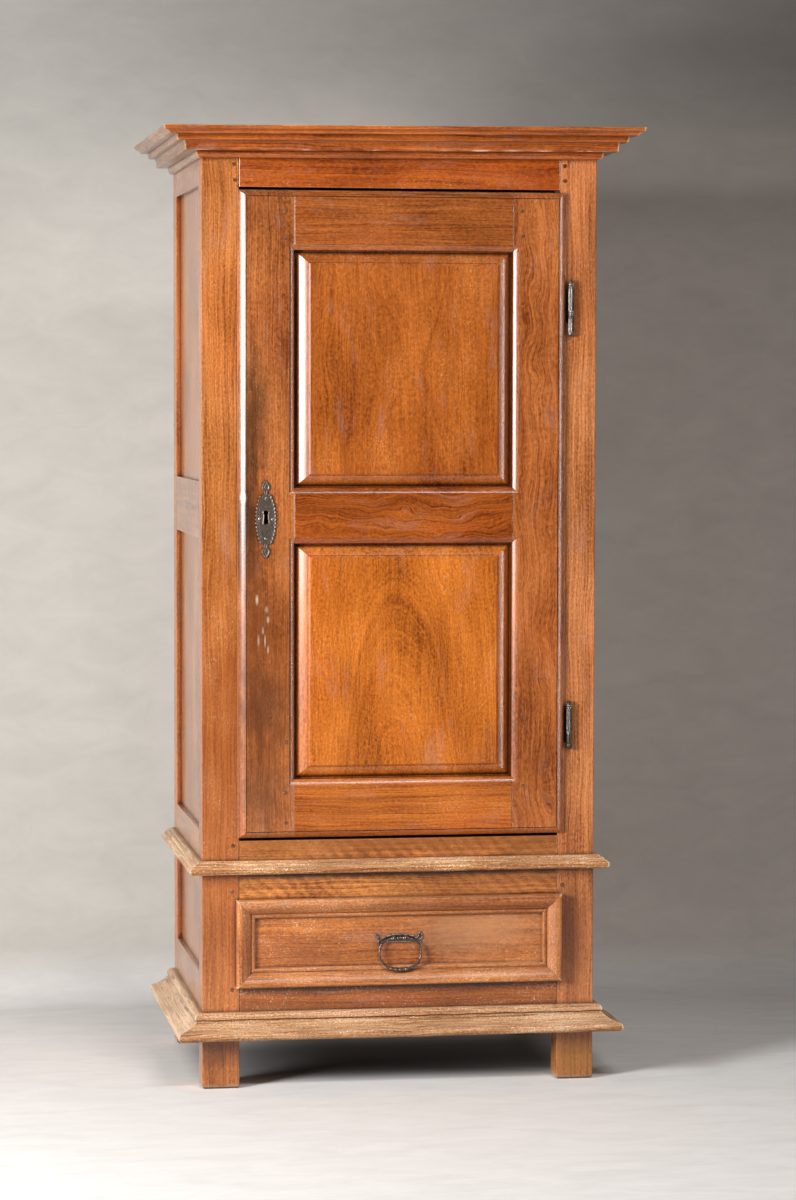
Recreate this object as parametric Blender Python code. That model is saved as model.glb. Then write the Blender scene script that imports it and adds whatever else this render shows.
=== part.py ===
"""A tall bread cupboard: a pegged walnut case on four posts, a panelled door with a lock, and a drawer.

Metres, +Z up. The front faces -Y, the origin is on the floor under the middle of the whole outline.
"""

import math

import bmesh
import bpy
from mathutils import Matrix, Vector

# Fits
FIT = 0.0003  # gap between pieces that touch
DRAWER_PLAY = 0.0015  # each side of the drawer in its opening
DOOR_PLAY = 0.0025  # each side of the door's body in its opening
PANEL_PLAY = 0.0010  # edge of a panel to the bottom of its groove
LIP_CLEAR = 0.0008  # back of the door's and the drawer's lip to the case

# Case, seen from the front: the heights stack up from the floor
CASE_WIDTH = 0.812
CASE_DEPTH = 0.580
POST_WIDTH = 0.076
POST_DEPTH = 0.060
FOOT_HEIGHT = 0.100
BOTTOM_RAIL = 0.115
DRAWER_OPENING = 0.166
MIDDLE_RAIL = 0.127
DOOR_OPENING = 1.325
TOP_RAIL = 0.097
RAIL_THICK = 0.028
ARRIS = 0.0015  # worn edge of a post
FOOT_ARRIS = 0.004  # worn edge round the sole of a foot

# Joints in the wood
TENON_THICK = 0.010
TENON_LENGTH = 0.030
TENON_SHOULDER = 0.014
SHOULDER_EASE = 0.0006  # depth of the eased edge along a shoulder
GROOVE_DEPTH = 0.009

# Case sides and back
SIDE_RAIL_THICK = 0.025
SIDE_TOP_RAIL = 0.092
SIDE_MIDDLE_RAIL = 0.115
SIDE_MIDDLE_RISE = 0.010  # middle side rail above the middle of the door
SIDE_WAIST_RAIL = 0.112
SIDE_RAIL_RISE = 0.018  # a side rail above the board that it carries
SIDE_PANEL_THICK = 0.009
SIDE_PANEL_RECESS = 0.010
BACK_THICK = 0.012
BACK_BOARDS = 5
BACK_SEAM = 0.004  # width and depth of the V between two back boards

# Boards inside the case
BOARD_THICK = 0.018
BOARD_HOUSING = 0.008
SHELF_HOUSING = 0.010
SHELF_SETBACK = 0.040
SHELF_LOWER_RISE = 0.380
SHELF_UPPER_RISE = 0.860
TOP_THICK = 0.016

# Cornice: four members, each with its reach from the case and its height
CORNICE_RISE = 0.020  # top of the cornice above the case
CORNICE_BEAD_OUT = 0.0120
CORNICE_BEAD_HEIGHT = 0.0137
CORNICE_FASCIA_OUT = 0.0395
CORNICE_FASCIA_HEIGHT = 0.0190
CORNICE_STEP_OUT = 0.0555
CORNICE_STEP_HEIGHT = 0.0120
CORNICE_CROWN_OUT = 0.0845
CORNICE_CROWN_HEIGHT = 0.0163
CORNICE_CROWN_LEAN = 0.0130
CORNICE_FILLET = 0.0075  # flat strip at the top of the crown

# Waist moulding, under the door
WAIST_DROP = 0.040  # its top below the door's sill
WAIST_OUT = 0.0285
WAIST_NOSE = 0.0175
WAIST_FILLET = 0.0060
WAIST_CAP = 0.0030
WAIST_STEP = 0.0095

# Base moulding, over the feet
BASE_RISE = 0.0055  # its underside above the rails' lower edge
BASE_OUT = 0.054
BASE_NOSE = 0.0165
BASE_SWEEP = 0.0210
BASE_CAP = 0.0150
BASE_CAP_OUT = 0.0165

# Door
DOOR_GAP = 0.006  # above and below the door
DOOR_THICK = 0.032
DOOR_PROUD = 0.014
LOCK_OVERLAP = 0.004
HINGE_OVERLAP = 0.0125
LOCK_STILE = 0.1145
HINGE_STILE = 0.1110
DOOR_TOP_RAIL = 0.120
DOOR_MIDDLE_RAIL = 0.1125
DOOR_BOTTOM_RAIL = 0.119
LIP_WIDTH = 0.0185  # rounded edge along the stiles
LIP_END_WIDTH = 0.0138  # the same along the top and the bottom
LIP_EDGE = 0.0012
LIP_GROOVE = 0.0022  # width of the V between the lip and the door's face
LIP_QUIRK = 0.0020
LIP_SINK = 0.0006
STUCK_WIDTH = 0.0105  # moulding cut on the frame round each panel
STUCK_DEPTH = 0.0074
STUCK_QUIRK = 0.0012
TONGUE_THICK = 0.007
TONGUE_DEPTH = 0.0205  # front of the panel's tongue behind the door's face
FIELD_MARGIN = 0.0290  # frame to the raised field, above and below
FIELD_SIDE_MARGIN = 0.0335  # the same at the sides
FIELD_SINK = 0.002  # raised field behind the door's face
FIELD_STEP = 0.0028  # top of the rounded border behind the field
FIELD_BEVEL = 0.0045  # width of the bevel up to the field
PANEL_QUIRK = 0.003  # flat between the frame and the rounded border
PANEL_ROUND = 0.0012  # how far the border swells from a straight bevel

# Door hinges
BARREL_RADIUS = 0.0053
HINGE_REACH = 0.0095  # pin's axis beyond the door's edge
DOOR_KNUCKLE = 0.062
UPPER_CASE_KNUCKLE = 0.0440
LOWER_CASE_KNUCKLE = 0.0175
KNUCKLE_CAP = 0.006
UPPER_FINIAL = 0.0040
UPPER_FINIAL_RADIUS = 0.0040
LOWER_FINIAL = 0.0140
LOWER_FINIAL_RADIUS = 0.0067
PIN_RADIUS = 0.0026
PIN_LENGTH = 0.040
WING_THICK = 0.0028
DOOR_WING = 0.050
CASE_WING = 0.034
WING_MARGIN = 0.004
WING_SET = 0.0042  # door's wing behind the front of the case
HINGE_SLOT = 0.0056  # gap cut in the door's lip beside the barrel
HINGE_SLOT_BELOW = 0.0170  # how far it runs below the joint between the halves
HINGE_ROOM = 0.0010  # round the wing where it turns in the post
UPPER_HINGE_DROP = 0.245
LOWER_HINGE_RISE = 0.205

# Lock and its plate
KEYHOLE_IN = 0.057  # keyhole from the door's edge
KEYHOLE_DROP = 0.0033  # below the middle of the door
KEYHOLE_RADIUS = 0.0047
KEYHOLE_HEIGHT = 0.028
KEYHOLE_FOOT = 0.0100
KEYHOLE_NECK = 50  # degrees below level where the round meets the foot
PLATE_THICK = 0.0016
PLATE_DROP = 0.0043  # plate's middle below the keyhole's
PLATE_WIDTH = 0.045
PLATE_OVAL = 0.101
PLATE_NECK = 0.009
PLATE_NECK_LENGTH = 0.006
PLATE_LEAF = 0.018
PLATE_LEAF_LENGTH = 0.024
PLATE_SHOULDER = 0.53  # width at the ends of the oval, as a share of its full width
PLATE_SCALLOP = 0.0015
PLATE_SCALLOPS = 15
LOCK_WIDTH = 0.090
LOCK_HEIGHT = 0.110
LOCK_DEPTH = 0.016
LOCK_INSET = 0.004
BOLT_THICK = 0.007
BOLT_HEIGHT = 0.016
BOLT_LENGTH = 0.060
BOLT_THROW = 0.014
BOLT_DROP = 0.023  # bolt's middle below the lock's top
STRIKE_PLAY = 0.0015

# Drawer
DRAWER_LENGTH = 0.500
DRAWER_FRONT_THICK = 0.020
DRAWER_SIDE_THICK = 0.012
DRAWER_SIDE_DROP = 0.014  # top of the sides below the opening
DRAWER_LAP = 0.013
DRAWER_BACK_THICK = 0.012
DRAWER_BACK_INSET = 0.008
DRAWER_BACK_DROP = 0.010
DRAWER_BOTTOM_THICK = 0.008
DRAWER_BOTTOM_RISE = 0.008
DRAWER_GROOVE = 0.005
DRAWER_LIP = 0.007
FRAME_WIDTH = 0.040  # moulding round the drawer's front
FRAME_EDGE = 0.0150
FRAME_PROUD = 0.0220
FRAME_TOP = 0.0095
FRAME_SLOPE = 0.0190
FRAME_FOOT = 0.0100
FRAME_BEAD = 0.0070

# Drawer pull
PULL_RISE = 0.005  # ring's axis above the middle of the drawer
RING_WIDTH = 0.084  # between the middles of the bar
RING_HEIGHT = 0.0645
RING_CORNER = 0.029
RING_BAR = 0.0030
RING_BEAD = 0.0012
RING_BEAD_PITCH = 0.0085
RING_CLEAR = 0.0006  # ring to the moulding it leans on
EYE_PLAY = 0.0004
EYE_WALL = 0.0024
EYE_LENGTH = 0.006
EYE_SPREAD = 0.0125
EYE_SINK = 0.0010
BACKPLATE_THICK = 0.0020
BACKPLATE_CREST = 0.0115  # plate's upper edge above the ring's axis
BACKPLATE_CHIN = 0.0085  # its lower edge below the axis
BACKPLATE_BROW = 0.0270  # from the middle to where the horns begin
BACKPLATE_HORN = 0.0455  # from the middle to the middle of a horn's round end
BACKPLATE_HORN_RISE = 0.0105
BACKPLATE_HORN_RADIUS = 0.0034
BACKPLATE_DROP = 0.0165  # points at the lower ends, below the axis

ROUND_SIDES = 20

# Planes and levels worked out from the sizes above
SIDE = CASE_WIDTH / 2
INNER = SIDE - POST_WIDTH
FRONT = (CORNICE_CROWN_OUT + FIT - CASE_DEPTH) / 2
BACK = FRONT + CASE_DEPTH
DRAWER_SILL = FOOT_HEIGHT + BOTTOM_RAIL
DRAWER_HEAD = DRAWER_SILL + DRAWER_OPENING
DOOR_SILL = DRAWER_HEAD + MIDDLE_RAIL
DOOR_HEAD = DOOR_SILL + DOOR_OPENING
CASE_TOP = DOOR_HEAD + TOP_RAIL
DOOR_LEFT = -INNER - LOCK_OVERLAP
DOOR_RIGHT = INNER + HINGE_OVERLAP
DOOR_BOTTOM = DOOR_SILL + DOOR_GAP
DOOR_TOP = DOOR_HEAD - DOOR_GAP
DOOR_FACE = FRONT - DOOR_PROUD
DOOR_REAR = DOOR_FACE + DOOR_THICK
BODY_LEFT = -INNER + DOOR_PLAY
BODY_RIGHT = INNER - DOOR_PLAY
SIGHT_LEFT = DOOR_LEFT + LOCK_STILE
SIGHT_RIGHT = DOOR_RIGHT - HINGE_STILE
SIGHT_LOW = DOOR_BOTTOM + DOOR_BOTTOM_RAIL
SIGHT_HIGH = DOOR_TOP - DOOR_TOP_RAIL
SIGHT_MIDDLE = (SIGHT_LOW + SIGHT_HIGH) / 2
TONGUE = (DOOR_FACE + TONGUE_DEPTH, DOOR_FACE + TONGUE_DEPTH + TONGUE_THICK)
HINGE_X = DOOR_RIGHT + HINGE_REACH
HINGE_Y = FRONT - max(BARREL_RADIUS, LOWER_FINIAL_RADIUS) - LIP_CLEAR
BORE_RADIUS = PIN_RADIUS + FIT
KEYHOLE_X = DOOR_LEFT + KEYHOLE_IN
KEYHOLE_Z = (DOOR_BOTTOM + DOOR_TOP) / 2 - KEYHOLE_DROP
DRAWER_FACE = FRONT - LIP_CLEAR + FIT
DRAWER_SIDE = INNER - DRAWER_PLAY
DRAWER_FLOOR = DRAWER_SILL + FIT
DRAWER_MIDDLE = (DRAWER_SILL + DRAWER_HEAD) / 2
PULL_Z = DRAWER_MIDDLE + PULL_RISE
BACKPLATE_FACE = DRAWER_FACE - FIT - BACKPLATE_THICK
EYE_BORE = RING_BAR + EYE_PLAY
EYE_RADIUS = EYE_BORE + EYE_WALL
PULL_Y = BACKPLATE_FACE - EYE_RADIUS + EYE_SINK

# Finishes: colour, roughness, metallic
FINISHES = {
    "walnut": ((0.36, 0.150, 0.045), 0.40, 0.0),
    "walnut_dark": ((0.22, 0.085, 0.030), 0.38, 0.0),
    "walnut_pale": ((0.45, 0.230, 0.095), 0.55, 0.0),
    "poplar": ((0.42, 0.300, 0.180), 0.70, 0.0),
    "forged_iron": ((0.060, 0.053, 0.048), 0.45, 0.9),
}


def finish(piece, name):
    """Gives a piece one of the named finishes and smooths its round faces."""
    material = bpy.data.materials.get(name)
    if material is None:
        colour, roughness, metallic = FINISHES[name]
        material = bpy.data.materials.new(name)
        material.use_nodes = True
        shader = material.node_tree.nodes["Principled BSDF"]
        shader.inputs["Base Color"].default_value = (*colour, 1.0)
        shader.inputs["Roughness"].default_value = roughness
        shader.inputs["Metallic"].default_value = metallic
    piece.data.materials.append(material)
    piece.data.shade_smooth()
    piece.data.set_sharp_from_angle(angle=math.radians(32))
    return piece


def place(axis, at, u, v):
    """A point at a distance along an axis, with u and v along the other two in X, Y, Z order."""
    return {"x": (at, u, v), "y": (u, at, v), "z": (u, v, at)}[axis]


def loft(name, loops, closed=False):
    """A solid whose skin joins loops of points in order, capped at both ends unless it closes on itself."""
    mesh = bmesh.new()
    rings = [[mesh.verts.new(point) for point in loop] for loop in loops]
    pairs = list(zip(rings, rings[1:]))
    if closed:
        pairs.append((rings[-1], rings[0]))
    else:
        mesh.faces.new(rings[0])
        mesh.faces.new(rings[-1])
    for first, second in pairs:
        for here in range(len(first)):
            after = (here + 1) % len(first)
            mesh.faces.new((first[here], first[after], second[after], second[here]))
    bmesh.ops.recalc_face_normals(mesh, faces=mesh.faces)
    data = bpy.data.meshes.new(name)
    mesh.to_mesh(data)
    mesh.free()
    piece = bpy.data.objects.new(name, data)
    bpy.context.scene.collection.objects.link(piece)
    return piece


def prism(name, axis, outline, span):
    """An outline carried straight along an axis."""
    return loft(name, [[place(axis, at, u, v) for u, v in outline] for at in span])


def rectangle(u, v):
    return [(u[0], v[0]), (u[1], v[0]), (u[1], v[1]), (u[0], v[1])]


def grown(span, by):
    return (span[0] - by, span[1] + by)


def board(name, x, y, z):
    return prism(name, "z", rectangle(x, y), z)


def circle(axis, at, middle, radius):
    turns = [2 * math.pi * step / ROUND_SIDES for step in range(ROUND_SIDES)]
    return [
        place(axis, at, middle[0] + radius * math.cos(turn), middle[1] + radius * math.sin(turn))
        for turn in turns
    ]


def turned(name, axis, middle, stations, closed=False):
    """A turned piece: circles of the stations' radii, each at its place along the axis."""
    return loft(name, [circle(axis, at, middle, radius) for at, radius in stations], closed)


def bow(start, end, rise, steps=5):
    """The points after start on a curve to end that rises by this much to the left of its chord."""
    run = (end[0] - start[0], end[1] - start[1])
    length = math.hypot(*run)
    points = []
    for step in range(1, steps + 1):
        part = step / steps
        lift = 4 * rise * part * (1 - part) / length
        points.append((start[0] + run[0] * part - run[1] * lift, start[1] + run[1] * part + run[0] * lift))
    return points


def combine(target, tool, operation="DIFFERENCE"):
    """Cuts a piece with a tool, or joins or trims it, and keeps the tool as a wire guide."""
    tool.hide_render = True
    tool.display_type = "WIRE"
    modifier = target.modifiers.new(tool.name, "BOOLEAN")
    modifier.operation = operation
    modifier.solver = "EXACT"
    modifier.object = tool


def seat(targets, name, x, y, z):
    """Cuts the room for a box-shaped end, with the fitting gap on every side."""
    tool = board(f"seat_{name}", grown(x, FIT), grown(y, FIT), grown(z, FIT))
    for target in targets:
        combine(target, tool)


def rail(name, axis, span, thick, height):
    """A rail with a tenon at each end. The span is from shoulder to shoulder."""
    middle = sum(thick) / 2
    tenon = (middle - TENON_THICK / 2, middle + TENON_THICK / 2)
    inner = grown(height, -TENON_SHOULDER)
    eased = (min(thick) + SHOULDER_EASE, max(thick) - SHOULDER_EASE)
    full = (min(thick), max(thick))
    sections = (
        (span[0] - TENON_LENGTH, tenon, inner),
        (span[0], tenon, inner),
        (span[0], eased, height),
        (span[0] + 2 * SHOULDER_EASE, full, height),
        (span[1] - 2 * SHOULDER_EASE, full, height),
        (span[1], eased, height),
        (span[1], tenon, inner),
        (span[1] + TENON_LENGTH, tenon, inner),
    )
    return loft(name, [[place(axis, at, u, v) for u, v in rectangle(*section)] for at, *section in sections])


def mortises(name, axis, span, thick, height, posts):
    """Cuts the mortises for a rail's two tenons, with one bar that runs through both posts."""
    middle = sum(thick) / 2
    tenon = (middle - TENON_THICK / 2 - FIT, middle + TENON_THICK / 2 + FIT)
    inner = grown(height, FIT - TENON_SHOULDER)
    tool = prism(f"mortise_{name}", axis, rectangle(tenon, inner), grown(span, TENON_LENGTH + FIT))
    for post in posts:
        combine(post, tool)


def joint_empty(name, point, parent=None):
    """An empty on a joint's axis, which carries the pieces that move with it."""
    empty = bpy.data.objects.new(name, None)
    bpy.context.scene.collection.objects.link(empty)
    empty.parent = parent
    empty.location = Vector(point) - resting_place(parent)
    return empty


def resting_place(empty):
    """An empty's place in the world, from its own and its parents' locations."""
    total = Vector()
    while empty is not None:
        total += empty.location
        empty = empty.parent
    return total


def carry(empty, pieces):
    for piece in pieces:
        piece.data.transform(Matrix.Translation(-resting_place(empty)))
        piece.parent = empty


def make_posts():
    """Four posts with eased edges, which run down as feet."""
    posts = {}
    for depth_name, y in (("front", (FRONT, FRONT + POST_DEPTH)), ("back", (BACK - POST_DEPTH, BACK))):
        for side_name, x in (("left", (-SIDE, -INNER)), ("right", (INNER, SIDE))):
            def eased(cut):
                (x0, x1), (y0, y1) = x, y
                return [
                    (x0 + cut, y0), (x1 - cut, y0), (x1, y0 + cut), (x1, y1 - cut),
                    (x1 - cut, y1), (x0 + cut, y1), (x0, y1 - cut), (x0, y0 + cut),
                ]

            def sole(cut):
                (x0, x1), (y0, y1) = grown(x, -cut), grown(y, -cut)
                return [
                    (x0 + ARRIS, y0), (x1 - ARRIS, y0), (x1, y0 + ARRIS), (x1, y1 - ARRIS),
                    (x1 - ARRIS, y1), (x0 + ARRIS, y1), (x0, y1 - ARRIS), (x0, y0 + ARRIS),
                ]

            levels = ((0.0, sole(FOOT_ARRIS)), (FOOT_ARRIS, eased(ARRIS)), (CASE_TOP, eased(ARRIS)))
            loops = [[place("z", z, u, v) for u, v in outline] for z, outline in levels]
            post = loft(f"post_{depth_name}_{side_name}", loops)
            posts[depth_name, side_name] = finish(post, "walnut")
    return posts


def make_cross_rails(posts):
    """The rails that run from post to post across the front and the back."""
    span = grown((-INNER, INNER), -FIT)
    front = (FRONT, FRONT + RAIL_THICK)
    back = (BACK - RAIL_THICK, BACK)
    plan = (
        ("front_rail_bottom", "front", front, (FOOT_HEIGHT, DRAWER_SILL)),
        ("front_rail_middle", "front", front, (DRAWER_HEAD, DOOR_SILL)),
        ("front_rail_top", "front", front, (DOOR_HEAD, CASE_TOP)),
        ("back_rail_bottom", "back", back, (FOOT_HEIGHT, DRAWER_SILL + SIDE_RAIL_RISE)),
        ("back_rail_top", "back", back, (DOOR_HEAD, CASE_TOP)),
    )
    rails = {}
    for name, depth_name, thick, height in plan:
        rails[name] = finish(rail(name, "x", span, thick, height), "walnut")
        mortises(name, "x", span, thick, height, (posts[depth_name, "left"], posts[depth_name, "right"]))
    return rails


def make_back_panel(posts, rails):
    """The back: upright boards tongued together, with a V along each seam, in grooves all round."""
    reach = GROOVE_DEPTH - PANEL_PLAY
    x = grown((-INNER, INNER), reach)
    middle = BACK - RAIL_THICK / 2
    y = (middle - BACK_THICK / 2, middle + BACK_THICK / 2)
    z = grown((DRAWER_SILL + SIDE_RAIL_RISE, DOOR_HEAD), reach)
    outline = [(x[0], y[1]), (x[0], y[0]), (x[1], y[0]), (x[1], y[1])]
    pitch = 2 * INNER / BACK_BOARDS
    for seam in range(BACK_BOARDS - 1, 0, -1):
        at = -INNER + seam * pitch
        outline += [(at + BACK_SEAM / 2, y[1]), (at, y[1] - BACK_SEAM), (at - BACK_SEAM / 2, y[1])]
    finish(prism("back_panel", "z", outline, z), "poplar")
    holders = (posts["back", "left"], posts["back", "right"], rails["back_rail_bottom"], rails["back_rail_top"])
    seat(holders, "back_panel", grown(x, PANEL_PLAY), y, grown(z, PANEL_PLAY))


def make_side(side_name, sign, posts):
    """One side of the case: four tenoned rails and the three flat panels between them."""
    span = (FRONT + POST_DEPTH + FIT, BACK - POST_DEPTH - FIT)
    pair = (posts["front", side_name], posts["back", side_name])
    thick = sorted((sign * SIDE, sign * (SIDE - SIDE_RAIL_THICK)))
    waist_top = DOOR_SILL + SIDE_RAIL_RISE
    middle = (DOOR_SILL + DOOR_HEAD) / 2 + SIDE_MIDDLE_RISE
    heights = {
        "bottom": (FOOT_HEIGHT, DRAWER_SILL + SIDE_RAIL_RISE),
        "waist": (waist_top - SIDE_WAIST_RAIL, waist_top),
        "middle": (middle - SIDE_MIDDLE_RAIL / 2, middle + SIDE_MIDDLE_RAIL / 2),
        "top": (CASE_TOP - SIDE_TOP_RAIL, CASE_TOP),
    }
    rails = {}
    for level, height in heights.items():
        name = f"side_rail_{level}_{side_name}"
        rails[level] = finish(rail(name, "y", span, thick, height), "walnut")
        mortises(name, "y", span, thick, height, pair)
    reach = GROOVE_DEPTH - PANEL_PLAY
    face = SIDE - SIDE_PANEL_RECESS
    x = sorted((sign * face, sign * (face - SIDE_PANEL_THICK)))
    y = grown(span, reach)
    for level, below, above in (("drawer", "bottom", "waist"), ("lower", "waist", "middle"), ("upper", "middle", "top")):
        name = f"side_panel_{level}_{side_name}"
        z = grown((heights[below][1], heights[above][0]), reach)
        finish(board(name, x, y, z), "walnut")
        seat((*pair, rails[below], rails[above]), name, x, grown(y, PANEL_PLAY), grown(z, PANEL_PLAY))
    return rails


def make_boards(posts, side_rails):
    """The floors of the cupboard and of the drawer's bay, the shelves, and the board that closes the top."""
    middle = BACK - RAIL_THICK / 2
    plan = (
        ("bottom_board", DRAWER_SILL, "bottom", BACK - RAIL_THICK - FIT),
        ("cupboard_floor", DOOR_SILL, "waist", middle - BACK_THICK / 2 - FIT),
    )
    wide = SIDE - SIDE_RAIL_THICK + BOARD_HOUSING
    for name, top, level, rear in plan:
        narrow = INNER - FIT
        ys = (FRONT + RAIL_THICK + FIT, FRONT + POST_DEPTH + FIT, BACK - POST_DEPTH - FIT, rear)
        outline = [
            (-narrow, ys[0]), (narrow, ys[0]), (narrow, ys[1]), (wide, ys[1]), (wide, ys[2]), (narrow, ys[2]),
            (narrow, ys[3]), (-narrow, ys[3]), (-narrow, ys[2]), (-wide, ys[2]), (-wide, ys[1]), (-narrow, ys[1]),
        ]
        z = (top - BOARD_THICK, top)
        finish(prism(name, "z", outline, z), "poplar")
        seat([rails[level] for rails in side_rails], name, (-wide, wide), grown((ys[1], ys[2]), FIT), z)
    x = grown((-INNER, INNER), SHELF_HOUSING)
    y = (FRONT + SHELF_SETBACK, BACK - RAIL_THICK - FIT)
    for name, rise in (("shelf_lower", SHELF_LOWER_RISE), ("shelf_upper", SHELF_UPPER_RISE)):
        z = (DOOR_SILL + rise - BOARD_THICK, DOOR_SILL + rise)
        finish(board(name, x, y, z), "poplar")
        seat(posts.values(), name, x, y, z)
    top = (CASE_TOP + FIT, CASE_TOP + FIT + TOP_THICK)
    finish(board("top_board", (-SIDE, SIDE), (FRONT, BACK), top), "poplar")


def cornice_profile():
    """Reach and height of the cornice, from its lower edge on the case out and up to the crown."""
    bead_top = CORNICE_BEAD_HEIGHT
    fascia_top = bead_top + CORNICE_FASCIA_HEIGHT
    step_top = fascia_top + CORNICE_STEP_HEIGHT
    crown_top = step_top + CORNICE_CROWN_HEIGHT
    ease = 0.0015
    bead_foot = (CORNICE_BEAD_OUT / 2, 0.0)
    bead_head = (CORNICE_BEAD_OUT, bead_top - ease)
    fascia_foot = (CORNICE_FASCIA_OUT - ease, bead_top)
    crown_foot = (CORNICE_CROWN_OUT - CORNICE_CROWN_LEAN, step_top)
    fillet_foot = (CORNICE_CROWN_OUT - ease, crown_top - CORNICE_FILLET)
    crown_head = (fillet_foot[0] - 2 * ease, fillet_foot[1] - ease / 2)
    return [
        (0.0, 0.0), bead_foot, *bow(bead_foot, bead_head, -ease), (CORNICE_BEAD_OUT, bead_top),
        fascia_foot, *bow(fascia_foot, (CORNICE_FASCIA_OUT, fascia_top), ease, 4),
        (CORNICE_STEP_OUT - ease, fascia_top), (CORNICE_STEP_OUT, step_top),
        crown_foot, *bow(crown_foot, crown_head, ease), fillet_foot, (CORNICE_CROWN_OUT, crown_top),
        (0.0, crown_top),
    ]


def waist_profile():
    """A rounded nose with two small fillets stepped back above it."""
    nose_foot = (WAIST_OUT - 0.0040, 0.0)
    nose_head = (WAIST_OUT - 0.0075, WAIST_NOSE)
    fillet_foot = (WAIST_OUT - WAIST_STEP, WAIST_NOSE)
    fillet_head = (fillet_foot[0] - 0.0055, WAIST_NOSE + WAIST_FILLET)
    cap = (fillet_head[0] - 0.0020, WAIST_NOSE + WAIST_FILLET)
    top = WAIST_NOSE + WAIST_FILLET + WAIST_CAP
    return [
        (0.0, 0.0), nose_foot, *bow(nose_foot, nose_head, -0.0055, 7), fillet_foot,
        *bow(fillet_foot, fillet_head, -0.0012, 4), cap, (cap[0] - 0.0010, top), (0.0, top),
    ]


def base_profile():
    """A rounded nose, a hollow sweep up to the case, and a bead on top."""
    nose_foot = (BASE_OUT - 0.0055, 0.0)
    nose_head = (BASE_OUT - 0.0030, BASE_NOSE)
    sweep_head = (BASE_CAP_OUT - 0.0030, BASE_NOSE + BASE_SWEEP)
    cap_foot = (BASE_CAP_OUT, BASE_NOSE + BASE_SWEEP + 0.0008)
    top = BASE_NOSE + BASE_SWEEP + BASE_CAP
    cap_head = (BASE_CAP_OUT - 0.0075, top)
    return [
        (0.0, 0.0), nose_foot, *bow(nose_foot, nose_head, -0.0042, 6), *bow(nose_head, sweep_head, 0.0035, 6),
        cap_foot, *bow(cap_foot, cap_head, -0.0035, 5), (0.0, top),
    ]


def make_mouldings():
    """Cornice, waist and base mouldings: a front strip mitred to a return along each side."""
    cornice = cornice_profile()
    cornice_top = max(height for _, height in cornice)
    waist = waist_profile()
    waist_top = max(height for _, height in waist)
    plan = (
        ("cornice", cornice, CASE_TOP + CORNICE_RISE - cornice_top),
        ("waist_moulding", waist, DOOR_SILL - WAIST_DROP - waist_top),
        ("base_moulding", base_profile(), FOOT_HEIGHT + BASE_RISE),
    )
    for name, profile, foot in plan:
        strip = [[(end * (SIDE + out), FRONT - FIT - out, foot + up) for out, up in profile] for end in (-1, 1)]
        finish(loft(f"{name}_front", strip), "walnut_pale")
        for side_name, sign in (("left", -1), ("right", 1)):
            mitre = [(sign * (SIDE + FIT + out), FRONT - out, foot + up) for out, up in profile]
            tail = [(sign * (SIDE + FIT + out), BACK, foot + up) for out, up in profile]
            finish(loft(f"{name}_{side_name}", [mitre, tail]), "walnut_pale")


def lip_curve(edge, inward, width):
    """The door's rounded lip, from the V on its face out to its edge, along u with y as depth."""
    quirk = (edge + inward * (width - LIP_GROOVE / 2), DOOR_FACE + LIP_QUIRK)
    crest = (edge + inward * (width - LIP_GROOVE), DOOR_FACE + LIP_SINK)
    rim = (edge, FRONT - LIP_CLEAR - LIP_EDGE)
    swell = (rim[1] - crest[1]) / 10
    return [(edge + inward * width, DOOR_FACE), quirk, crest, *bow(crest, rim, inward * swell, 7)]


def panel_sights():
    """The clear openings of the door's two panels."""
    half = DOOR_MIDDLE_RAIL / 2
    return {"lower": (SIGHT_LOW, SIGHT_MIDDLE - half), "upper": (SIGHT_MIDDLE + half, SIGHT_HIGH)}


def stuck_cutter(name, x, z):
    """Cuts the rounded moulding, mitred at the corners, on the frame round a panel."""
    foot = (0.0, DOOR_FACE + STUCK_DEPTH)
    quirk = (STUCK_WIDTH, DOOR_FACE + STUCK_QUIRK)
    past = 0.002
    steps = [(STUCK_WIDTH, DOOR_FACE - past), quirk, *bow(quirk, foot, STUCK_DEPTH / 12, 5), (-past, foot[1] + past)]
    return loft(name, [[place("y", y, u, v) for u, v in rectangle(grown(x, by), grown(z, by))] for by, y in steps])


def raised_panel(name, x, z):
    """A panel with a tongue round it, a rounded border and a raised flat field."""
    reach = GROOVE_DEPTH - PANEL_PLAY
    field = DOOR_FACE + FIELD_SINK
    border = (-PANEL_QUIRK, TONGUE[0])
    brow = (FIELD_BEVEL - FIELD_MARGIN, field + FIELD_STEP)
    quirk = (brow[0] - FIELD_STEP / 4, brow[1] + FIELD_STEP / 4)
    steps = [
        (reach, TONGUE[1]), (reach, TONGUE[0]), border, *bow(border, brow, PANEL_ROUND, 8), quirk, (-FIELD_MARGIN, field),
    ]
    wider = FIELD_SIDE_MARGIN / FIELD_MARGIN
    loops = []
    for by, y in steps:
        outline = rectangle(grown(x, by if by > 0 else by * wider), grown(z, by))
        loops.append([place("y", y, u, v) for u, v in outline])
    return loft(name, loops)


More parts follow.
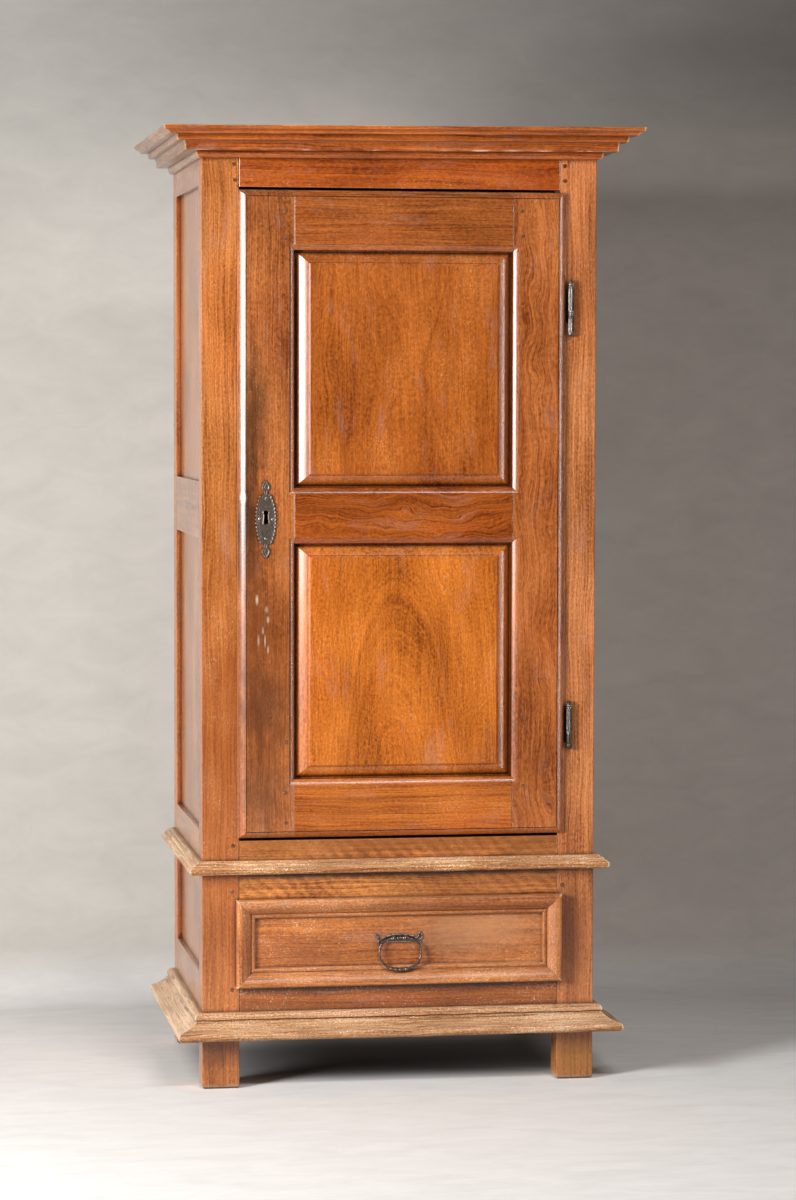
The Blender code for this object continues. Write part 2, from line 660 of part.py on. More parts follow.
def make_door_frame():
    """Stiles, rails and raised panels of the door."""
    behind = DOOR_REAR
    lock_outline = [
        (SIGHT_LEFT, DOOR_FACE), *lip_curve(DOOR_LEFT, 1, LIP_WIDTH), (DOOR_LEFT, FRONT - LIP_CLEAR),
        (BODY_LEFT, FRONT - LIP_CLEAR), (BODY_LEFT, behind), (SIGHT_LEFT, behind),
    ]
    hinge_outline = [
        (SIGHT_RIGHT, DOOR_FACE), *lip_curve(DOOR_RIGHT, -1, LIP_WIDTH), (DOOR_RIGHT, FRONT - LIP_CLEAR),
        (BODY_RIGHT, FRONT - LIP_CLEAR), (BODY_RIGHT, behind), (SIGHT_RIGHT, behind),
    ]
    low = [(y, z) for z, y in lip_curve(DOOR_BOTTOM, 1, LIP_END_WIDTH)]
    high = [(y, z) for z, y in lip_curve(DOOR_TOP, -1, LIP_END_WIDTH)]
    past = LIP_WIDTH
    ends = prism(
        "door_ends", "x",
        [*low, (behind + past, DOOR_BOTTOM), (behind + past, DOOR_TOP), *reversed(high)],
        (DOOR_LEFT - past, DOOR_RIGHT + past),
    )
    tall = grown((DOOR_BOTTOM, DOOR_TOP), past)
    stiles = {
        "lock": finish(prism("door_stile_lock", "z", lock_outline, tall), "walnut_dark"),
        "hinge": finish(prism("door_stile_hinge", "z", hinge_outline, tall), "walnut"),
    }
    span = grown((SIGHT_LEFT, SIGHT_RIGHT), -FIT)
    thick = (DOOR_FACE, DOOR_REAR)
    half = DOOR_MIDDLE_RAIL / 2
    heights = {
        "bottom": (DOOR_BOTTOM, SIGHT_LOW),
        "middle": (SIGHT_MIDDLE - half, SIGHT_MIDDLE + half),
        "top": (SIGHT_HIGH, DOOR_TOP),
    }
    rails = {}
    for level, height in heights.items():
        name = f"door_rail_{level}"
        rails[level] = finish(rail(name, "x", span, thick, height), "walnut")
        mortises(name, "x", span, thick, height, stiles.values())
    for piece in (*stiles.values(), rails["bottom"], rails["top"]):
        combine(piece, ends, "INTERSECT")
    panels = []
    x = (SIGHT_LEFT, SIGHT_RIGHT)
    for level, z in panel_sights().items():
        panel = raised_panel(f"door_panel_{level}", x, z)
        panels.append(finish(panel, "walnut"))
        frame = (*stiles.values(), rails["middle"], rails["bottom" if level == "lower" else "top"])
        stuck = stuck_cutter(f"stuck_{level}", x, z)
        for piece in frame:
            combine(piece, stuck)
        seat(frame, f"panel_{level}", grown(x, GROOVE_DEPTH), TONGUE, grown(z, GROOVE_DEPTH))
    return stiles, [*stiles.values(), *rails.values(), *panels]


def make_hinges(stile, post):
    """Two barrel hinges. The case's half holds the pin, and the door's half is cranked back to its wing."""
    door_halves = []
    pin_at = (HINGE_X, HINGE_Y)
    wing_x = (HINGE_X - WING_THICK / 2, HINGE_X + WING_THICK / 2)
    wing_y = (FRONT + WING_SET, FRONT + WING_SET + WING_THICK)
    wing_end = HINGE_X - DOOR_WING
    leaf = [
        (wing_x[0], HINGE_Y + BORE_RADIUS), (wing_x[1], HINGE_Y + BORE_RADIUS), (wing_x[1], wing_y[1]),
        (wing_end, wing_y[1]), (wing_end, wing_y[0]), (wing_x[0], wing_y[0]),
    ]
    slot = HINGE_X - BARREL_RADIUS - HINGE_SLOT
    plan = (
        ("upper", DOOR_TOP - UPPER_HINGE_DROP, UPPER_CASE_KNUCKLE, UPPER_FINIAL, UPPER_FINIAL_RADIUS),
        ("lower", DOOR_BOTTOM + LOWER_HINGE_RISE, LOWER_CASE_KNUCKLE, LOWER_FINIAL, LOWER_FINIAL_RADIUS),
    )
    for level, split, knuckle, drop, ball in plan:
        foot = split - knuckle
        head = split + DOOR_KNUCKLE
        nub = BARREL_RADIUS * 0.6
        case_half = turned(f"hinge_{level}_case_half", "z", pin_at, (
            (foot - drop, ball * 0.30), (foot - drop * 0.85, ball * 0.75), (foot - drop * 0.50, ball),
            (foot - drop * 0.15, ball * 0.75), (foot, ball * 0.50), (foot, BARREL_RADIUS),
            (split - FIT, BARREL_RADIUS), (split - FIT, PIN_RADIUS), (split + PIN_LENGTH, PIN_RADIUS),
        ))
        door_half = turned(f"hinge_{level}_door_half", "z", pin_at, (
            (split + PIN_LENGTH + FIT, BORE_RADIUS), (split, BORE_RADIUS), (split, BARREL_RADIUS),
            (head, BARREL_RADIUS), (head, nub), (head + KNUCKLE_CAP * 0.7, nub), (head + KNUCKLE_CAP, nub * 0.4),
        ))
        case_wing = (wing_x, (HINGE_Y, FRONT + CASE_WING), grown((foot, split), -WING_MARGIN))
        leaf_z = grown((split, head), -WING_MARGIN)
        combine(case_half, board(f"wing_{level}_case", *case_wing), "UNION")
        combine(door_half, prism(f"wing_{level}_door", "z", leaf, leaf_z), "UNION")
        seat((post,), f"wing_{level}_case", *case_wing)
        seat((stile,), f"wing_{level}_door", (wing_end, HINGE_X), wing_y, leaf_z)
        slot_z = (split - HINGE_SLOT_BELOW, head - WING_MARGIN + HINGE_ROOM)
        room = (INNER - HINGE_ROOM, wing_x[1] + HINGE_ROOM)
        combine(post, board(f"room_{level}", room, (HINGE_Y, wing_y[1] + HINGE_ROOM), slot_z))
        combine(stile, board(f"slot_{level}", (slot, HINGE_X), (DOOR_FACE - FIT, FRONT), slot_z))
        finish(case_half, "forged_iron")
        door_halves.append(finish(door_half, "forged_iron"))
    return door_halves


def keyhole_outline():
    """A round head on a foot that flares downwards, about its middle height."""
    head = KEYHOLE_HEIGHT / 2 - KEYHOLE_RADIUS
    steps = 10
    turn = (180 + 2 * KEYHOLE_NECK) / steps
    points = []
    for step in range(steps + 1):
        angle = math.radians(-KEYHOLE_NECK + step * turn)
        points.append((KEYHOLE_RADIUS * math.cos(angle), head + KEYHOLE_RADIUS * math.sin(angle)))
    return [*points, (-KEYHOLE_FOOT / 2, -KEYHOLE_HEIGHT / 2), (KEYHOLE_FOOT / 2, -KEYHOLE_HEIGHT / 2)]


def plate_half_width(height):
    """Half the lock plate's width at a height from its middle: a scalloped oval, a neck, then a leaf."""
    half = PLATE_OVAL / 2
    if height <= half:
        oval = PLATE_WIDTH / 2 * math.sqrt(1 - (height / half) ** 2 * (1 - PLATE_SHOULDER ** 2))
        tooth = abs(math.cos(math.pi * PLATE_SCALLOPS * height / PLATE_OVAL))
        return oval - PLATE_SCALLOP * (1 - tooth)
    leaf = (height - half - PLATE_NECK_LENGTH) / PLATE_LEAF_LENGTH
    if leaf <= 0:
        return PLATE_NECK / 2
    return max(PLATE_LEAF / 2 * math.sin(math.pi * leaf ** 0.65), PLATE_NECK / 2 * (1 - leaf))


def make_lock(stiles, post):
    """The lock plate with its keyhole, the lock behind the stile, and the bolt that shoots into the post."""
    hole = [(KEYHOLE_X + u, KEYHOLE_Z + v) for u, v in keyhole_outline()]
    tip = PLATE_OVAL / 2 + PLATE_NECK_LENGTH + PLATE_LEAF_LENGTH
    steps = 128
    heights = [tip * (2 * step / steps - 1) for step in range(1, steps)]
    middle = KEYHOLE_Z - PLATE_DROP
    right = [(KEYHOLE_X + plate_half_width(abs(z)), middle + z) for z in heights]
    left = [(KEYHOLE_X - plate_half_width(abs(z)), middle + z) for z in reversed(heights)]
    outline = [(KEYHOLE_X, middle - tip), *right, (KEYHOLE_X, middle + tip), *left]
    plate_rear = DOOR_FACE - FIT
    plate = finish(prism("escutcheon", "y", outline, (plate_rear - PLATE_THICK, plate_rear)), "forged_iron")
    case_front = DOOR_REAR + FIT
    x = (BODY_LEFT + LOCK_INSET, BODY_LEFT + LOCK_INSET + LOCK_WIDTH)
    z = (KEYHOLE_Z - LOCK_HEIGHT / 2, KEYHOLE_Z + LOCK_HEIGHT / 2)
    lock_case = finish(board("lock_case", x, (case_front, case_front + LOCK_DEPTH), z), "forged_iron")
    wall = (LOCK_DEPTH - BOLT_THICK) / 2
    keyhole = prism("keyhole", "y", hole, (DOOR_FACE - DOOR_PROUD, case_front + wall))
    for piece in (plate, stiles["lock"], lock_case):
        combine(piece, keyhole)
    bolt_y = (case_front + wall, case_front + wall + BOLT_THICK)
    bolt_z = (z[1] - BOLT_DROP - BOLT_HEIGHT / 2, z[1] - BOLT_DROP + BOLT_HEIGHT / 2)
    bolt = finish(board("lock_bolt", (x[0], x[0] + BOLT_LENGTH), bolt_y, bolt_z), "forged_iron")
    combine(lock_case, board(
        "bolt_way", (x[0] - LOCK_INSET, x[0] + BOLT_LENGTH + FIT), grown(bolt_y, FIT), grown(bolt_z, FIT),
    ))
    strike = (x[0] - BOLT_THROW - STRIKE_PLAY, x[0])
    combine(post, board("strike", strike, grown(bolt_y, STRIKE_PLAY), grown(bolt_z, STRIKE_PLAY)))
    return [plate, lock_case], bolt, (x[0], sum(bolt_y) / 2, sum(bolt_z) / 2)


def make_door(posts):
    axis = joint_empty("door_axis", (HINGE_X, HINGE_Y, DOOR_BOTTOM))
    stiles, pieces = make_door_frame()
    pieces += make_hinges(stiles["hinge"], posts["front", "right"])
    lock_pieces, bolt, bolt_nose = make_lock(stiles, posts["front", "left"])
    carry(axis, pieces + lock_pieces)
    carry(joint_empty("bolt_slide", bolt_nose, axis), [bolt])


def frame_profile():
    """The drawer's moulding: distance in from its outer edge, and height above its back."""
    top = (FRAME_TOP, FRAME_PROUD)
    shoulder = (FRAME_TOP * 0.6, FRAME_PROUD)
    slope = (FRAME_TOP + FRAME_SLOPE, FRAME_FOOT)
    bead = (slope[0] + 0.0015, FRAME_BEAD)
    bead_end = (FRAME_WIDTH - 0.0010, FRAME_BEAD * 0.7)
    edge = (0.0, FRAME_EDGE)
    return [
        (0.0, 0.0), edge, *bow(edge, shoulder, 0.0022, 5), top, *bow(top, slope, 0.0012, 5), bead,
        *bow(bead, bead_end, 0.0022, 4), (FRAME_WIDTH, 0.0),
    ]


def frame_height(inset):
    """How high the drawer's moulding stands at a distance in from its outer edge."""
    profile = frame_profile()
    heights = [0.0]
    for (u0, h0), (u1, h1) in zip(profile, profile[1:]):
        if u0 <= inset <= u1 and u1 > u0:
            heights.append(h0 + (h1 - h0) * (inset - u0) / (u1 - u0))
    return max(heights)


def make_drawer_box():
    """The drawer's front with lapped sides, the back in housings, and the bottom in grooves."""
    side_x = (DRAWER_SIDE - DRAWER_SIDE_THICK, DRAWER_SIDE)
    front_rear = DRAWER_FACE + DRAWER_FRONT_THICK
    lap = front_rear - DRAWER_LAP
    front_outline = [
        (-DRAWER_SIDE, DRAWER_FACE), (DRAWER_SIDE, DRAWER_FACE), (DRAWER_SIDE, lap - FIT),
        (side_x[0] - FIT, lap - FIT), (side_x[0] - FIT, front_rear), (FIT - side_x[0], front_rear),
        (FIT - side_x[0], lap - FIT), (-DRAWER_SIDE, lap - FIT),
    ]
    front_z = (DRAWER_FLOOR, DRAWER_HEAD - DRAWER_PLAY)
    front = finish(prism("drawer_front", "z", front_outline, front_z), "walnut")
    rear = FRONT + DRAWER_LENGTH
    side_z = (DRAWER_FLOOR, DRAWER_HEAD - DRAWER_SIDE_DROP)
    sides = []
    for side_name, sign in (("left", -1), ("right", 1)):
        x = sorted((sign * side_x[0], sign * side_x[1]))
        sides.append(finish(board(f"drawer_side_{side_name}", x, (lap, rear), side_z), "poplar"))
    bottom_z = (DRAWER_FLOOR + DRAWER_BOTTOM_RISE, DRAWER_FLOOR + DRAWER_BOTTOM_RISE + DRAWER_BOTTOM_THICK)
    inner = side_x[0] + DRAWER_GROOVE
    back_y = (rear - DRAWER_BACK_INSET - DRAWER_BACK_THICK, rear - DRAWER_BACK_INSET)
    bottom_y = (front_rear - DRAWER_GROOVE, rear - FIT)
    bottom = finish(board("drawer_bottom", (-inner, inner), bottom_y, bottom_z), "poplar")
    seat((front, *sides), "drawer_bottom", (-inner, inner), (bottom_y[0], rear + FIT), bottom_z)
    back_z = (bottom_z[1] + FIT, side_z[1] - DRAWER_BACK_DROP)
    back = finish(board("drawer_back", (-inner, inner), back_y, back_z), "poplar")
    seat(sides, "drawer_back", (-inner, inner), back_y, back_z)
    return [front, *sides, bottom, back]


def make_drawer_frame():
    """The mitred moulding round the drawer's front, which laps over the case."""
    x = grown((-INNER, INNER), DRAWER_LIP)
    z = grown((DRAWER_SILL, DRAWER_HEAD), DRAWER_LIP)
    loops = []
    for across, up in ((0, 0), (1, 0), (1, 1), (0, 1)):
        loops.append([
            (x[across] + (1 - 2 * across) * inset, DRAWER_FACE - FIT - height, z[up] + (1 - 2 * up) * inset)
            for inset, height in frame_profile()
        ])
    return finish(loft("drawer_moulding", loops, closed=True), "walnut_pale")


def backplate_outline():
    """The pull's plate: an arched bar whose ends sweep up to round horns and down to points."""
    chin = (BACKPLATE_BROW - 0.0030, -BACKPLATE_CHIN)
    armpit = (BACKPLATE_HORN - 0.0110, 0.0015 - BACKPLATE_CHIN)
    heel = (BACKPLATE_HORN - 0.0025, -BACKPLATE_DROP)
    flank = (BACKPLATE_HORN + 0.0010, -0.0020)
    notch = (BACKPLATE_HORN - 0.0080, 0.0005)
    brow = (BACKPLATE_BROW, 0.0040)
    knob = []
    for step in range(7):
        angle = math.radians(-20 + 35 * step)
        knob.append((
            BACKPLATE_HORN + BACKPLATE_HORN_RADIUS * math.cos(angle),
            BACKPLATE_HORN_RISE + BACKPLATE_HORN_RADIUS * math.sin(angle),
        ))
    right = [
        (0.0, -BACKPLATE_CHIN), chin, armpit, *bow(armpit, heel, 0.0012, 3), *bow(heel, flank, -0.0006, 3),
        *bow(flank, knob[0], 0.0012, 3), *knob[1:], *bow(knob[-1], notch, 0.0022, 4), *bow(notch, brow, 0.0010, 3),
        *bow(brow, (0.0, BACKPLATE_CREST), -0.0010, 5),
    ]
    return right + [(-u, v) for u, v in reversed(right[1:-1])]


def make_backplate():
    """The pull's plate with the two eyes that hold the ring."""
    outline = [(u, PULL_Z + v) for u, v in backplate_outline()]
    plate = prism("pull_backplate", "y", outline, (BACKPLATE_FACE, BACKPLATE_FACE + BACKPLATE_THICK))
    for side_name, sign in (("left", -1), ("right", 1)):
        ends = (sign * EYE_SPREAD - EYE_LENGTH / 2, sign * EYE_SPREAD + EYE_LENGTH / 2)
        stations = ((ends[0], EYE_BORE), (ends[0], EYE_RADIUS), (ends[1], EYE_RADIUS), (ends[1], EYE_BORE))
        eye = turned(f"eye_{side_name}", "x", (PULL_Y, PULL_Z), stations, closed=True)
        combine(plate, eye, "UNION")
    return finish(plate, "forged_iron")


def ring_path():
    """The ring's middle line, flat: across and down from the middle of its upper bar, with outward normals."""
    half = RING_WIDTH / 2
    run = half - RING_CORNER
    drop = RING_HEIGHT - 2 * RING_CORNER
    straight = 9
    corner = 7
    path = []
    for corner_index, (cx, cz) in enumerate(
        ((run, -RING_CORNER - drop), (-run, -RING_CORNER - drop), (-run, -RING_CORNER), (run, -RING_CORNER))
    ):
        begin = -math.pi / 2 * corner_index
        for step in range(corner + 1):
            angle = begin - math.pi / 2 * step / corner
            normal = (math.cos(angle), math.sin(angle))
            path.append((cx + RING_CORNER * normal[0], cz + RING_CORNER * normal[1], normal))
        if corner_index % 2 == 0:
            level = path[-1][1]
            way = -1 if corner_index == 0 else 1
            for step in range(1, straight):
                path.append((way * run * (2 * step / straight - 1), level, path[-1][2]))
    return path


def ring_radius(across, down):
    """The bar's radius, with three turned beads in the middle of the upper and of the lower bar."""
    lobes = 1.5 * RING_BEAD_PITCH
    if abs(across) > lobes or -RING_CORNER > down > RING_CORNER - RING_HEIGHT:
        return RING_BAR
    if down > -RING_CORNER:
        return RING_BAR
    return RING_BAR + RING_BEAD * abs(math.cos(math.pi * across / RING_BEAD_PITCH))


def make_ring():
    """The oval ring, hung in the eyes and leaning on the lower moulding of the drawer."""
    reach = RING_HEIGHT + RING_BAR + RING_BEAD
    inset = PULL_Z - reach - (DRAWER_SILL - DRAWER_LIP)
    stand = max(frame_height(inset), frame_height(inset + 2 * RING_BAR)) + RING_BAR + RING_BEAD + RING_CLEAR
    lean = math.asin((PULL_Y - (DRAWER_FACE - FIT - stand)) / RING_HEIGHT)
    rise = Vector((0, math.sin(lean), math.cos(lean)))
    across = Vector((1, 0, 0))
    square = across.cross(rise)
    middle = Vector((0, PULL_Y, PULL_Z))
    loops = []
    sides = 10
    for u, v, (nu, nv) in ring_path():
        centre = middle + across * u + rise * v
        outward = across * nu + rise * nv
        radius = ring_radius(u, v)
        turns = [2 * math.pi * (side + 0.5) / sides for side in range(sides)]
        loops.append([centre + radius * (math.cos(t) * outward + math.sin(t) * square) for t in turns])
    return finish(loft("pull_ring", loops, closed=True), "forged_iron")


def make_drawer():
    slide = joint_empty("drawer_slide", (0, DRAWER_FACE, DRAWER_FLOOR))
    carry(slide, [*make_drawer_box(), make_drawer_frame(), make_backplate()])
    carry(joint_empty("ring_axis", (0, PULL_Y, PULL_Z), slide), [make_ring()])


def main():
    for old in list(bpy.data.objects):
        bpy.data.objects.remove(old)
    posts = make_posts()
    rails = make_cross_rails(posts)
    make_back_panel(posts, rails)
    side_rails = [make_side(side_name, sign, posts) for side_name, sign in (("left", -1), ("right", 1))]
    make_boards(posts, side_rails)
    make_mouldings()
    make_door(posts)
    make_drawer()


main()
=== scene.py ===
import math

import bmesh
import bpy
import numpy as np
from mathutils import Matrix, Vector


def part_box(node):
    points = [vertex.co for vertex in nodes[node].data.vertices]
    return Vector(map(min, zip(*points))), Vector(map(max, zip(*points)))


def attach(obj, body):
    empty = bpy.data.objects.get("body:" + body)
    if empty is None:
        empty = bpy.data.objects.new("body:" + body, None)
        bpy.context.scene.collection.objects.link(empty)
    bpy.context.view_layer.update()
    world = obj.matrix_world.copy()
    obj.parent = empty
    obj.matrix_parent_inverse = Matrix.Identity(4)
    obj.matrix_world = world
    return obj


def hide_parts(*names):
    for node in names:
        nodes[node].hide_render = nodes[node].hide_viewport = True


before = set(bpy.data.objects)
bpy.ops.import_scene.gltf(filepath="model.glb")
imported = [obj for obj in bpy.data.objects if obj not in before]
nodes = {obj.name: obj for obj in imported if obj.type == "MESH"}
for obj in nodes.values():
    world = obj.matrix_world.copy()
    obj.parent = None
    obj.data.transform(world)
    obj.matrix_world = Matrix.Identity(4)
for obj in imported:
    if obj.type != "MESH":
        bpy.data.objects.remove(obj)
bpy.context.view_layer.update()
print("frame loaded:", len(nodes), "nodes")


# sRGB hex to linear, for every colour in this file, with a gain for each channel
def tint(code, gain=(1, 1, 1)):
    parts = [int(code[i:i + 2], 16) / 255 for i in (1, 3, 5)]
    linear = [p / 12.92 if p <= 0.04045 else ((p + 0.055) / 1.055) ** 2.4 for p in parts]
    return tuple(p * g for p, g in zip(linear, gain)) + (1.0,)


# one node with its settings; inputs come by name or number, or in the node's own order, and those that
# are sockets become links; the wanted output comes back
def addNode(tree, kind, inputs=(), out=0, **settings):
    node = tree.nodes.new("ShaderNode" + kind)
    for key, value in settings.items():
        setattr(node, key, value)
    for socket, value in inputs.items() if isinstance(inputs, dict) else enumerate(inputs):
        if isinstance(value, bpy.types.NodeSocket):
            tree.links.new(value, node.inputs[socket])
        else:
            node.inputs[socket].default_value = value
    return node if out is None else node.outputs[out]


def newMaterial(name):
    material = bpy.data.materials.new(name)
    material.use_nodes = True
    tree = material.node_tree
    return material, tree, tree.nodes["Principled BSDF"]


# Walnut, hand planed and waxed for two centuries: orange brown with soft growth rings, fine fibre
# streaks, dark pores, grime and painted shade in the corners, paler rubbed edges and painted sheen under a
# satin wax
walnutLook = {
    "colour": "#b3622a",
    # rings round a pith, and how far the grain wanders
    "ringMm": 14.0, "pithAcross": -420.0, "pithDepth": 60.0, "pithTilt": 0.02, "pithBow": 0.0,
    "pithAlong": 0.0, "wanderMm": 16.0, "wanderWide": 80.0, "wanderLong": 300.0, "rippleMm": 0.0,
    # how far each noise moves the tone
    "ringShare": 0.70, "fibreShare": 1.35, "mottleShare": 0.10, "broadShare": 0.95, "speckShare": 0.90,
    # what lies over the bare wood
    "poreDepth": 0.12, "bloom": 0.20, "wear": 0.55, "wearColour": "#e2b083", "grime": 0.95, "stains": (),
    "dust": 0.35, "dustFrom": 1.75, "dustColour": "#e2c09a",
    "fleckShare": 0.5, "fleckFrom": 0.84, "fleckColour": "#f0d2b0", "streak": 0.0,
    "roughness": 0.28, "wax": 0.36, "waxRoughness": 0.20, "bumpMm": 0.12,
}
# noises along the grain: width across and length along in mm, detail, roughness; fibres and pores
# are drawn a few times coarser than real ones so that they show
grainNoise = {
    "fibre": (1.9, 230.0, 3.0, 0.6), "mottle": (9.0, 60.0, 3.0, 0.55), "bloom": (34.0, 120.0, 3.0, 0.6),
    "broad": (95.0, 210.0, 2.0, 0.5), "speck": (3.6, 6.5, 2.0, 0.6), "warm": (150.0, 340.0, 1.0, 0.5),
    "pore": (1.8, 9.0, 2.0, 0.5), "ragged": (16.0, 42.0, 4.0, 0.65), "fleck": (2.2, 3.6, 2.0, 0.75),
}
# how far one board's noise lies from the next one's: across, deep and along in mm, and in rings
boardStep, ringStep = (731.0, 417.0, 1930.0), 37.0
# dark to pale wood: a place on the ramp, and the gain on the board's colour there
toneStops = {0.16: (0.38, 0.29, 0.22), 0.38: (0.80, 0.74, 0.66),
             0.60: (1.10, 1.12, 1.14), 0.84: (1.50, 1.62, 1.75)}
# where each coat over the wood starts and where it is full, in the units of its mask
coatEdges = {"warm": (0.50, 0.75), "pore": (0.60, 0.73), "bloom": (0.54, 0.76), "stain": (1.90, 0.80),
             "rubbed": (0.98, 0.62), "hollow": (0.90, 0.38)}
upwardPaleSpan, fleckSpan = 0.5, 0.08  # paler upward faces and flecks start where the board's look says
stainTorn = 1.3  # noise in the edge of a stain
smallStain = 0.035  # m; smaller stains are chips, with a finer edge
curlSpan, curlShare = (0.35, 0.65), 0.24  # where curled grain shows, and how far it moves the tone
hollowReach, edgeReach = 0.013, 0.0030  # m


# where a board's points lie along its grain, with its rings and its other noises
def woodNoise(tree, look, spot):
    mm = addNode(tree, "VectorMath", {0: spot, "Scale": 1000.0}, operation="SCALE")
    split = addNode(tree, "SeparateXYZ", {0: mm}, out=None).outputs
    axes = {"z": "XYZ", "x": "ZYX", "y": "ZXY"}[look["grain"]]
    across, depth, along = (split["XYZ".index(axis)] for axis in axes)
    offset = tuple(look["seed"] * step for step in boardStep)
    laid = addNode(tree, "CombineXYZ", (across, depth, along))
    laid = addNode(tree, "VectorMath", (laid, offset), operation="ADD")
    slowness = (1 / look["wanderWide"], 1 / look["wanderWide"], 1 / look["wanderLong"])
    slow = addNode(tree, "VectorMath", (laid, slowness), operation="MULTIPLY")
    wander = addNode(tree, "TexNoise", {"Vector": slow, "Scale": 1.0})
    swayed = wander, 2 * look["wanderMm"], -look["wanderMm"]
    sway = addNode(tree, "Math", swayed, operation="MULTIPLY_ADD")
    bentAcross = addNode(tree, "Math", (across, sway), operation="ADD")
    # rings are distances from a tilted or bowed pith, which draws arches on a flat-sawn face
    fromPith = addNode(tree, "Math", (bentAcross, look["pithAcross"]), operation="SUBTRACT")
    fromMiddle = addNode(tree, "Math", (along, look["pithAlong"]), operation="SUBTRACT")
    bowed = fromMiddle, look["pithBow"], look["pithTilt"]
    slant = addNode(tree, "Math", bowed, operation="MULTIPLY_ADD")
    risen = slant, fromMiddle, look["pithDepth"]
    rising = addNode(tree, "Math", risen, operation="MULTIPLY_ADD")
    reach = addNode(tree, "CombineXYZ", (fromPith, rising))
    reach = addNode(tree, "VectorMath", (reach,), "Value", operation="LENGTH")
    counted = reach, 1 / look["ringMm"], look["seed"] * ringStep
    ringPlace = addNode(tree, "Math", counted, operation="MULTIPLY_ADD")
    ringy = {"W": ringPlace, "Scale": 1.0, "Detail": 5.0, "Roughness": 0.78}
    noise = {"ring": addNode(tree, "TexNoise", ringy, noise_dimensions="1D")}
    bent = addNode(tree, "CombineXYZ", (bentAcross, depth, along))
    bent = addNode(tree, "VectorMath", (bent, offset), operation="ADD")
    for layer, (wide, long, detail, rough) in grainNoise.items():
        scale = (1 / wide, 1 / wide, 1 / long)
        scaled = addNode(tree, "VectorMath", (bent, scale), operation="MULTIPLY")
        noisy = {"Vector": scaled, "Scale": 1.0, "Detail": detail, "Roughness": rough}
        noise[layer] = addNode(tree, "TexNoise", noisy)
    return laid, noise


# masks and heights of a board, each a start with noises added to it in shares
def woodSums(tree, look, noise):
    edge = addNode(tree, "AmbientOcclusion", {"Distance": edgeReach}, "AO",
                   samples=6, inside=True, only_local=True)
    facing = addNode(tree, "SeparateXYZ", {0: addNode(tree, "NewGeometry", out="Normal")}, out="Z")
    figure = {layer: look[layer + "Share"] for layer in ("ring", "fibre", "mottle", "broad", "speck")}
    starts = {
        "tone": (0.5 - 0.5 * sum(figure.values()), figure),
        "rubbed": (edge, {"ragged": 0.6}),
        "dusty": (noise["fleck"], {"broad": 0.35, "fibre": look["streak"]}),
        "upward": (facing, {"ragged": 0.7, "fibre": 1.6}),
        "gloss": (look["roughness"] - 0.11, {"ragged": 0.22}),
        "swell": (0.0, {"fibre": 0.5, "mottle": 1.2, "broad": 6.0}),  # plane marks and raised fibre
    }
    sums = {}
    for key, (total, shares) in starts.items():
        for layer, share in shares.items():
            total = addNode(tree, "Math", (noise[layer], share, total), operation="MULTIPLY_ADD")
        sums[key] = total
    return sums


# what lies over the bare wood, in order: a mask, where it starts and is full, strength, colour, mode
def woodCoats(tree, look, spot, noise, sums):
    coats = [
        (noise["warm"], coatEdges["warm"], 0.5, (1.10, 0.90, 0.80, 1.0), "MULTIPLY"),
        (noise["pore"], coatEdges["pore"], look["poreDepth"], (0.34, 0.27, 0.22, 1.0), "MULTIPLY"),
        # wax bloom and painted sheen: hazy grey lavender patches mixed into the colour
        (noise["bloom"], coatEdges["bloom"], look["bloom"], tint("#b9958a"), "MIX"),
    ]
    for centre, radii, code, strength in look["stains"]:
        # handling, damp and chips, and painted shadows under mouldings and the door: a place with a ragged
        # edge round an ellipsoid
        away = addNode(tree, "VectorMath", (spot, centre), operation="SUBTRACT")
        away = addNode(tree, "VectorMath", (away, radii), operation="DIVIDE")
        away = addNode(tree, "VectorMath", (away,), "Value", operation="LENGTH")
        torn = noise["fleck" if max(radii) < smallStain else "ragged"]
        away = addNode(tree, "Math", (torn, stainTorn, away), operation="MULTIPLY_ADD")
        coats.append((away, coatEdges["stain"], strength, tint(code), "MIX"))
    # grime and painted shade: the wood goes nearly black where hollows close in, as in deep gaps
    hollow = addNode(tree, "AmbientOcclusion", {"Distance": hollowReach}, "AO", samples=6)
    upwardPaleEdges = look["dustFrom"], look["dustFrom"] + upwardPaleSpan
    fleckEdges = look["fleckFrom"], look["fleckFrom"] + fleckSpan
    return coats + [
        (sums["rubbed"], coatEdges["rubbed"], look["wear"], tint(look["wearColour"]), "MIX"),
        # paler on upward faces, broken up by ragged and fibre noise
        (sums["upward"], upwardPaleEdges, look["dust"], tint(look["dustColour"]), "MIX"),
        (sums["dusty"], fleckEdges, look["fleckShare"], tint(look["fleckColour"]), "MIX"),
        (hollow, coatEdges["hollow"], look["grime"], (0.12, 0.08, 0.06, 1.0), "MULTIPLY"),
    ]


